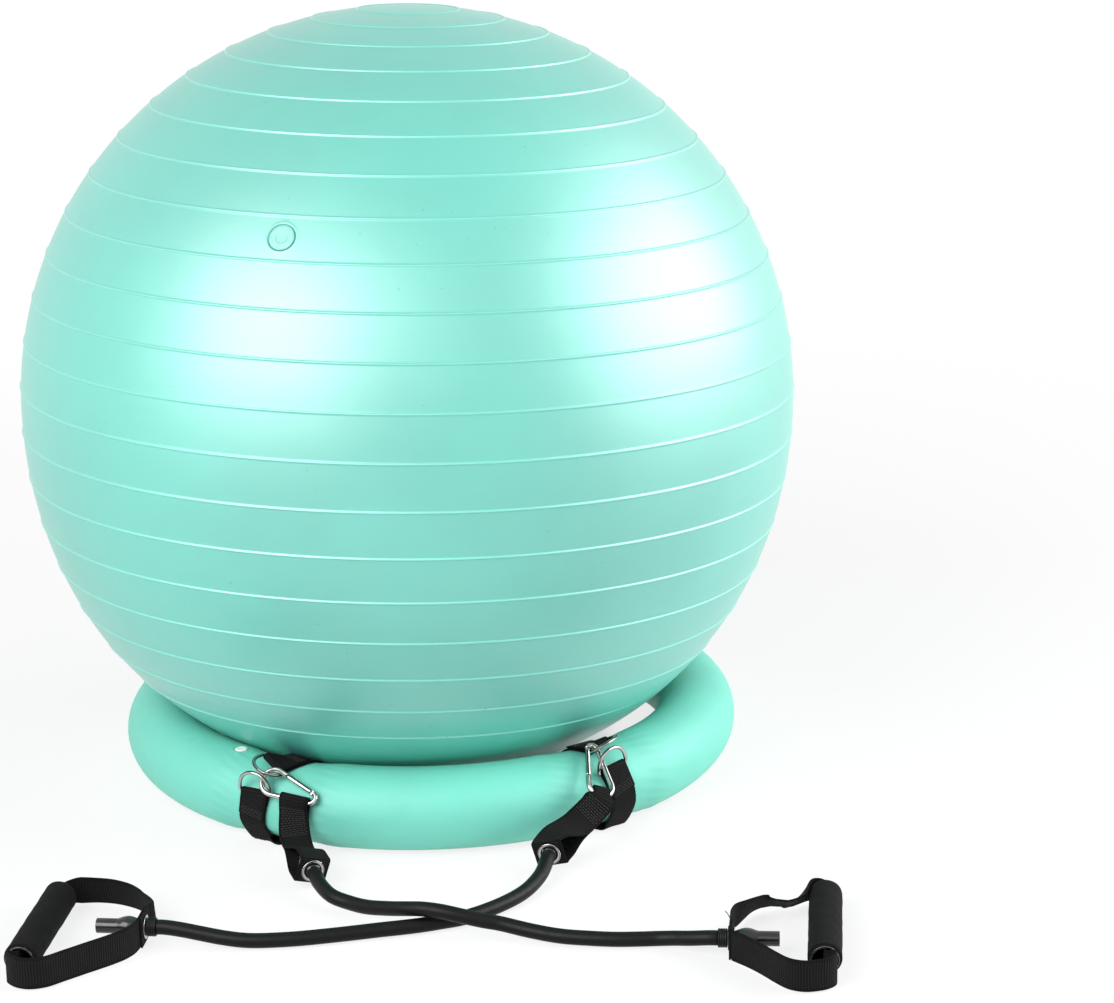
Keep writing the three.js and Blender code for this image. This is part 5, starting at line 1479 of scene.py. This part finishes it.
def eyelet(name, half, origin, out):
    """A rolled flange, a barrel through the webbing and a washer behind it."""
    outside, inside = half + GAP + FLANGE_HEIGHT, half + GAP
    mid = (EYELET_BORE + EYELET_FLANGE) / 2
    profile = rounded([
        (EYELET_BORE, 0), (EYELET_BORE, -outside), (EYELET_WASHER, -outside),
        (EYELET_WASHER, -inside), (EYELET_BARREL, -inside), (EYELET_BARREL, inside),
        (EYELET_FLANGE, inside), (EYELET_FLANGE - 0.2, outside - 0.25),
        (mid, outside), (EYELET_BORE + 0.3, outside - 0.3), (EYELET_BORE, 0),
    ], 0.35, 3)[:-1]
    return lathe(name, profile, 64, origin, out)


def tube_end(name, half, stub, tail, origin, out):
    """The tube's end: through the eyelet, swelling over a bead as sin(pi t)^1.2, and on to an
    open tail. The hollow round the bead swells as sin(pi t)^0.8."""
    cavity = BEAD_RADIUS + GAP
    swell = cavity + BULGE_WALL
    shoulder = -half - FLANGE_HEIGHT - 2 * GAP
    bead = shoulder - swell
    t = np.linspace(0, 1, 15)
    hump = TUBE_RADIUS + (swell - TUBE_RADIUS) * np.sin(np.pi * t) ** 1.2
    rise = shoulder + (bead - swell * 1.15 - shoulder) * t
    outside = np.column_stack([hump, rise])
    t = np.linspace(0, 1, 9)
    hollow = np.column_stack([
        TUBE_BORE + (cavity - TUBE_BORE) * np.sin(np.pi * t) ** 0.8,
        bead - cavity * 0.85 + cavity * 1.7 * t])
    profile = np.vstack([
        [(TUBE_BORE, stub), (TUBE_RADIUS - 0.05, stub)], outside,
        rounded([(TUBE_RADIUS, bead - swell * 1.3), (TUBE_RADIUS, -tail),
                 (TUBE_BORE, -tail), (TUBE_BORE, bead - cavity)], 0.5, 3), hollow])
    return lathe(name, profile, 48, origin, out)


def collar(name, half, origin, out):
    """The ribbed collar where the tube leaves the handle. Its radius dips below the outside by
    the rib's depth times one less |sin(4 pi t)|^0.6."""
    low = half + FLANGE_HEIGHT + 2 * GAP
    inside, outside = TUBE_RADIUS + GAP, TUBE_RADIUS + GAP + COLLAR_WALL
    t = np.linspace(0, 1, 33)
    ribs = outside - 0.45 + 0.45 * np.abs(np.sin(t * np.pi * 4)) ** 0.6
    ribs[[0, -1]] = outside - 0.6
    profile = np.vstack([[(inside, low)], np.column_stack([ribs, low + COLLAR_LENGTH * t]),
                         [(inside, low + COLLAR_LENGTH)]])
    return lathe(name, profile, 48, origin, out)


def handle_face(side):
    """Middle of a handle's face, half its thickness and the way that its tube leaves it."""
    origin, to_grip, _ = handle_place(side)
    half = LAYER_PITCH / 2 + WEBBING_THICKNESS / 2
    return origin + to_grip * LAYER_PITCH / 2, half, -to_grip


def both_faces(side):
    """The faces of a band that hold an eyelet: its name, middle, half thickness and way out."""
    face, out, _ = loop_face(side)
    middle, half, way = handle_face(side)
    return (("anchor", face, WEBBING_THICKNESS / 2, out), ("handle", middle, half, way))


def tube_path(side):
    """The free tube's line: straight out of both faces, and smooth along its route."""
    (_, anchor, _, out), (_, handle, _, way) = both_faces(side)
    lead = [anchor + out * run for run in (STUB["anchor"] - 0.1, STUB["anchor"] + TUBE_RADIUS)]
    last = [handle + way * run for run in (STUB["handle"] + TUBE_RADIUS, STUB["handle"] - 0.1)]
    return smooth_path([*lead, *BANDS[side]["route"], *last], 24)


# Operators, one for each piece or group of like pieces


class CHAIR_OT_camera(bpy.types.Operator):
    """Set up the camera at the photograph's angle"""

    bl_idname = "chair.camera"
    bl_label = "Camera"

    def execute(self, context):
        data = bpy.data.cameras.new("camera")
        data.sensor_width, data.lens = SENSOR_WIDTH, context.scene.chair_stage.lens
        data.clip_start, data.clip_end = 0.05, 100
        pitch, roll = np.radians(CAMERA_TILT_DEG)
        forward = np.array([0, np.cos(pitch), -np.sin(pitch)])
        right, up = np.array([1.0, 0, 0]), np.array([0, np.sin(pitch), np.cos(pitch)])
        context.scene.camera = posed(
            "camera", data, np.cos(roll) * right + np.sin(roll) * up,
            np.cos(roll) * up - np.sin(roll) * right, -forward, CAMERA_PLACE)
        return {"FINISHED"}


class CHAIR_OT_pull_tubes(bpy.types.Operator):
    """Make the free stretches of the two elastic tubes"""

    bl_idname = "chair.pull_tubes"
    bl_label = "Pull tubes"

    def execute(self, context):
        for side in SIDES:
            path = spaced(tube_path(side), 200)
            rows = swept_rows(path, TUBE_RADIUS, 28, UP)
            runs = lengths_along(path) * MM
            tube = skin(f"{side}_pull_tube", rows, girth(TUBE_RADIUS, 28),
                        np.append(runs, runs[-1]))
            dressed(tube, "latex")
            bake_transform(tube)
            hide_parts(f"{side}_band_tube")
        return {"FINISHED"}


class CHAIR_OT_ball(bpy.types.Operator):
    """Make the ribbed ball"""

    bl_idname = "chair.ball"
    bl_label = "Ball"

    def execute(self, context):
        make_ball(context.scene.chair_vinyl)
        return {"FINISHED"}


class CHAIR_OT_ring(bpy.types.Operator):
    """Make the inflated ring base"""

    bl_idname = "chair.ring"
    bl_label = "Ring base"

    def execute(self, context):
        make_ring(context.scene.chair_vinyl)
        return {"FINISHED"}


class CHAIR_OT_stoppers(bpy.types.Operator):
    """Make the valve stoppers of the ball and the ring"""

    bl_idname = "chair.stoppers"
    bl_label = "Valve stoppers"

    def execute(self, context):
        seat = BALL_CENTRE + plug_axis() * BALL_RADIUS
        ball = stopper("ball_stopper", BALL_PLUG, seat, plug_axis())
        stand_for(ball, "ball_plug", "plug_vinyl", "tinted_vinyl")
        stand = RING_HEIGHT - RING_TUBE_RADIUS
        seat = ring_point(RING_PLUG["azimuth"], 90, stand)
        ring = stopper("ring_stopper", RING_PLUG, seat, UP)
        stand_for(ring, "ring_plug", "plug_vinyl")
        return {"FINISHED"}


class CHAIR_OT_tether_straps(bpy.types.Operator):
    """Make the webbing round the ring and its rows of stitches"""

    bl_idname = "chair.tether_straps"
    bl_label = "Tether straps"

    def execute(self, context):
        for side in SIDES:
            strap, path, wides = webbing(f"{side}_tether_strap", strap_stops(TETHERS[side]), 6)
            stand_for(strap, f"{side}_tether_webbing", "webbing")
            at = on_strip(path, wides, off_the_tube)
            front = tack_rows(at, TACK_START, TACK_END)
            rear = tack_rows(at, -TACK_END, -TACK_START)
            sewn = stitches(f"{side}_tether_stitching", front[0] + rear[0], front[1] + rear[1])
            add_to(sewn, "base", "thread")
        return {"FINISHED"}


class CHAIR_OT_d_rings(bpy.types.Operator):
    """Make the four D-shaped rings"""

    bl_idname = "chair.d_rings"
    bl_label = "D-shaped rings"

    def execute(self, context):
        for side in SIDES:
            for end in ("front", "rear"):
                ring = wire_d(f"{side}_{end}_d", TETHERS[side][end])
                stand_for(ring, f"{side}_{end}_dring", "nickel")
        return {"FINISHED"}


class CHAIR_OT_snap_hooks(bpy.types.Operator):
    """Make the snap hooks with their gates and rivets"""

    bl_idname = "chair.snap_hooks"
    bl_label = "Snap hooks"

    def execute(self, context):
        for side in SIDES:
            make_hook(side)
        return {"FINISHED"}


class CHAIR_OT_anchor_loops(bpy.types.Operator):
    """Make the webbing loops that hang in the hooks"""

    bl_idname = "chair.anchor_loops"
    bl_label = "Anchor loops"

    def execute(self, context):
        for side in SIDES:
            loop, _, _ = webbing(f"{side}_anchor_loop", anchor_stops(side), 5)
            face, out, _ = loop_face(side)
            carve(loop, cylinder(EYELET_HOLE, -2, 2, face, out))
            stand_for(loop, f"{side}_band_anchor_webbing", "webbing")
            layers, length, _ = anchor_layers(side)
            starts, ends = [], []
            for which in (1, -1):
                def at(run, aside, which=which):
                    middle, wide, width, outward = layers(run, which)
                    aside = aside * width / TACK_FULL_WIDTH
                    return middle + wide * aside + outward * STITCH_STAND

                low = ANCHOR_CLOSE_RUN * 0.5
                rows = tack_rows(at, low, length * ANCHOR_BUTT_SHARE - 1)
                starts, ends = starts + rows[0], ends + rows[1]
            sewn = stitches(f"{side}_anchor_stitching", starts, ends)
            add_to(sewn, "base", "thread")
        return {"FINISHED"}


class CHAIR_OT_handle_straps(bpy.types.Operator):
    """Make the webbing of the handles"""

    bl_idname = "chair.handle_straps"
    bl_label = "Handle straps"

    def execute(self, context):
        for side in SIDES:
            strap, _, _ = webbing(f"{side}_handle_strap", handle_stops(side), 4)
            middle, _, out = handle_face(side)
            carve(strap, cylinder(EYELET_HOLE, -2.2, 2.2, middle, out))
            stand_for(strap, f"{side}_band_handle_webbing", "webbing")
        origin, to_grip, along = handle_place("left")
        path = smooth_path([origin + to_grip * u + along * v + UP * height
                            for u, v, height in LOOSE_THREAD], 6)
        thread = round_wire("loose_thread", path, 0.35, 8, UP)
        add_to(thread, body_with("left_band_handle_webbing"), "thread")
        return {"FINISHED"}


class CHAIR_OT_eyelets(bpy.types.Operator):
    """Make the eyelets and the tube ends that they hold"""

    bl_idname = "chair.eyelets"
    bl_label = "Eyelets and tube ends"

    def execute(self, context):
        for side in SIDES:
            for place, middle, half, out in both_faces(side):
                node = f"{side}_band_{place}"
                ring = eyelet(f"{side}_{place}_eyelet", half, middle, out)
                stand_for(ring, f"{node}_grommet", "nickel", "turned_nickel")
                end = tube_end(f"{side}_{place}_end_of_tube", half, STUB[place], TAIL[place],
                               middle, out)
                stand_for(end, f"{node}_tube_end", "latex", "stretched_latex")
                dressed(frame["nodes"][f"{node}_bead"], "core_plastic")
            _, middle, half, out = both_faces(side)[1]
            ribbed = collar(f"{side}_handle_collar", half, middle, out)
            stand_for(ribbed, f"{side}_band_handle_sleeve", "sleeve_rubber")
        return {"FINISHED"}


class CHAIR_OT_grips(bpy.types.Operator):
    """Make the liners and the foam of the grips"""

    bl_idname = "chair.grips"
    bl_label = "Grips"

    def execute(self, context):
        for side in SIDES:
            origin, to_grip, along = handle_place(side)
            handle = BANDS[side]["handle"]
            middle = origin + to_grip * handle["reach"] + along * handle["slide"]
            half = LINER_LENGTH / 2
            profile = rounded([
                (LINER_BORE, 0), (LINER_BORE, -half), (LINER_RADIUS, -half), (LINER_RADIUS, 0),
                (LINER_RADIUS, half), (LINER_BORE, half), (LINER_BORE, 0)], 0.5, 4)[:-1]
            liner = lathe(f"{side}_grip_liner", profile, 64, middle, along)
            stand_for(liner, f"{side}_band_grip_core", "core_plastic")
            foam = self.foam(side, middle, along)
            stand_for(foam, f"{side}_band_grip_foam", "grip_foam")
        return {"FINISHED"}

    def foam(self, side, middle, along):
        """A foam tube: its radius swells and dips by a few tenths as sums of slow sines."""
        half, inner = GRIP_LENGTH / 2, LINER_RADIUS + 0.2
        edge = np.linspace(0, np.pi / 2, 6)
        run = np.linspace(-half + 2, half - 2, 60)
        outer = np.concatenate([FOAM_RADIUS - 2 + 2 * np.sin(edge), np.full(60, FOAM_RADIUS),
                                FOAM_RADIUS - 2 + 2 * np.cos(edge)])
        heights = np.concatenate([-half + 2 - 2 * np.cos(edge), run,
                                  half - 2 + 2 * np.sin(edge)])
        profile = np.column_stack([outer, heights])
        rows = turned_rows(np.vstack([[(inner, -half)], profile, [(inner, half)]]), 72)
        angle = np.arange(72) * 2 * np.pi / 72
        height = rows[..., 2]
        dips = (np.sin(3 * angle + height * 0.09) + np.sin(5 * angle - height * 0.17)
                + np.sin(height * 0.31 + 2 * angle)) * 0.07
        radius = np.linalg.norm(rows[..., :2], axis=-1)
        scale = np.where(radius > inner + 0.1, (radius - 0.16 + dips) / radius, 1)
        rows[..., :2] *= scale[..., None]
        return skin(f"{side}_foam_cover", stood(rows, middle, along),
                    girth(FOAM_RADIUS, 72),
                    np.linspace(0, GRIP_LENGTH * MM, len(rows) + 1), closed=True)


class CHAIR_OT_stage(bpy.types.Operator):
    """Make the floor, the soft lamps and the room's light"""

    bl_idname = "chair.stage"
    bl_label = "Floor and lamps"

    def execute(self, context):
        settings = context.scene.chair_stage
        reach = settings.floor_size / 2
        mesh = bpy.data.meshes.new("floor")
        corners = ((-1, -1), (1, -1), (1, 1), (-1, 1))
        mesh.from_pydata([(x * reach, y * reach, -FLOOR_DROP) for x, y in corners], [],
                         [(0, 1, 2, 3)])
        floor = linked("floor", mesh)
        recipe = Recipe("pale_floor", Roughness=0.9, Specular_IOR_Level=0.1)
        recipe.shader.inputs["Base Color"].default_value = (0.92, 0.92, 0.92, 1)
        away = recipe.node("ShaderNodeVectorMath", {"operation": "LENGTH"},
                           {0: recipe.place()}, output=1)
        sideways = recipe.node("ShaderNodeSeparateXYZ", None, {0: recipe.place()})
        # Painted shade: the glow is taken away inside the ring and left of a line, so the floor
        # there shows dark.
        hidden = (1 - away.above(*FLOOR_HIDDEN)) * (1 - sideways.above(*FLOOR_SIDEWAYS))
        rise = away.above(*FLOOR_RISE) * 0.2
        share = (rise + FLOOR_NEAR_SHARE) * (1 - hidden)
        glow = recipe.node("ShaderNodeEmission", None, {"Color": (1, 1, 1, 1), "Strength": 1.0})
        lit = Number(recipe, recipe.shader.outputs[0])
        mixed = recipe.node("ShaderNodeMixShader", None, {
            0: recipe.straight_rays() * share, 1: lit, 2: glow})
        output = recipe.tree.nodes["Material Output"]
        recipe.tree.links.new(mixed.socket, output.inputs["Surface"])
        floor.data.materials.append(recipe.material)
        for name, (direction, distance, size, share) in LAMPS.items():
            self.lamp(name, unit(direction), distance, size, settings.lamp_power * share)
        room, level = Room("room"), settings.fill_level
        room.shader.inputs["Color"].default_value = (1, 1, 1, 1)
        room.put(room.shader.inputs["Strength"], room.straight_rays() * (1 - level) + level)
        context.scene.view_settings.view_transform = "Standard"
        return {"FINISHED"}

    def lamp(self, name, direction, distance, size, power):
        """A soft lamp that faces the ball from a direction."""
        data = bpy.data.lights.new(name, "AREA")
        data.shape, data.size, data.size_y, data.energy = "RECTANGLE", *size, power
        right = unit(np.cross(UP, direction))
        posed(name, data, right, np.cross(direction, right), direction,
              BALL_CENTRE * MM + direction * distance)


OPERATORS = (
    CHAIR_OT_camera, CHAIR_OT_pull_tubes, CHAIR_OT_ball, CHAIR_OT_ring, CHAIR_OT_stoppers,
    CHAIR_OT_tether_straps, CHAIR_OT_d_rings, CHAIR_OT_snap_hooks, CHAIR_OT_anchor_loops,
    CHAIR_OT_handle_straps, CHAIR_OT_eyelets, CHAIR_OT_grips, CHAIR_OT_stage,
)


class CHAIR_PT_panel(bpy.types.Panel):
    """Ball chair panel in the sidebar"""

    bl_label = "Ball Chair"
    bl_idname = "CHAIR_PT_panel"
    bl_space_type = "VIEW_3D"
    bl_region_type = "UI"
    bl_category = "Ball Chair"

    def draw(self, context):
        for group in ("chair_vinyl", "chair_bands", "chair_stage"):
            settings = getattr(context.scene, group)
            box = self.layout.box()
            for key in settings.__annotations__:
                box.prop(settings, key)
        for operator in OPERATORS:
            self.layout.operator(operator.bl_idname)


GROUPS = {"chair_vinyl": VinylSettings, "chair_bands": BandSettings,
          "chair_stage": StageSettings}


def register():
    for made in (*GROUPS.values(), *OPERATORS, CHAIR_PT_panel):
        bpy.utils.register_class(made)
    for name, group in GROUPS.items():
        setattr(bpy.types.Scene, name, bpy.props.PointerProperty(type=group))


def unregister():
    for name in GROUPS:
        delattr(bpy.types.Scene, name)
    for made in (CHAIR_PT_panel, *reversed(OPERATORS), *GROUPS.values()):
        bpy.utils.unregister_class(made)


def main():
    """Builds every piece in order."""
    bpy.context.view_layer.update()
    register()
    for operator in OPERATORS:
        group, name = operator.bl_idname.split(".")
        getattr(getattr(bpy.ops, group), name)()


if __name__ == "__main__":
    main()
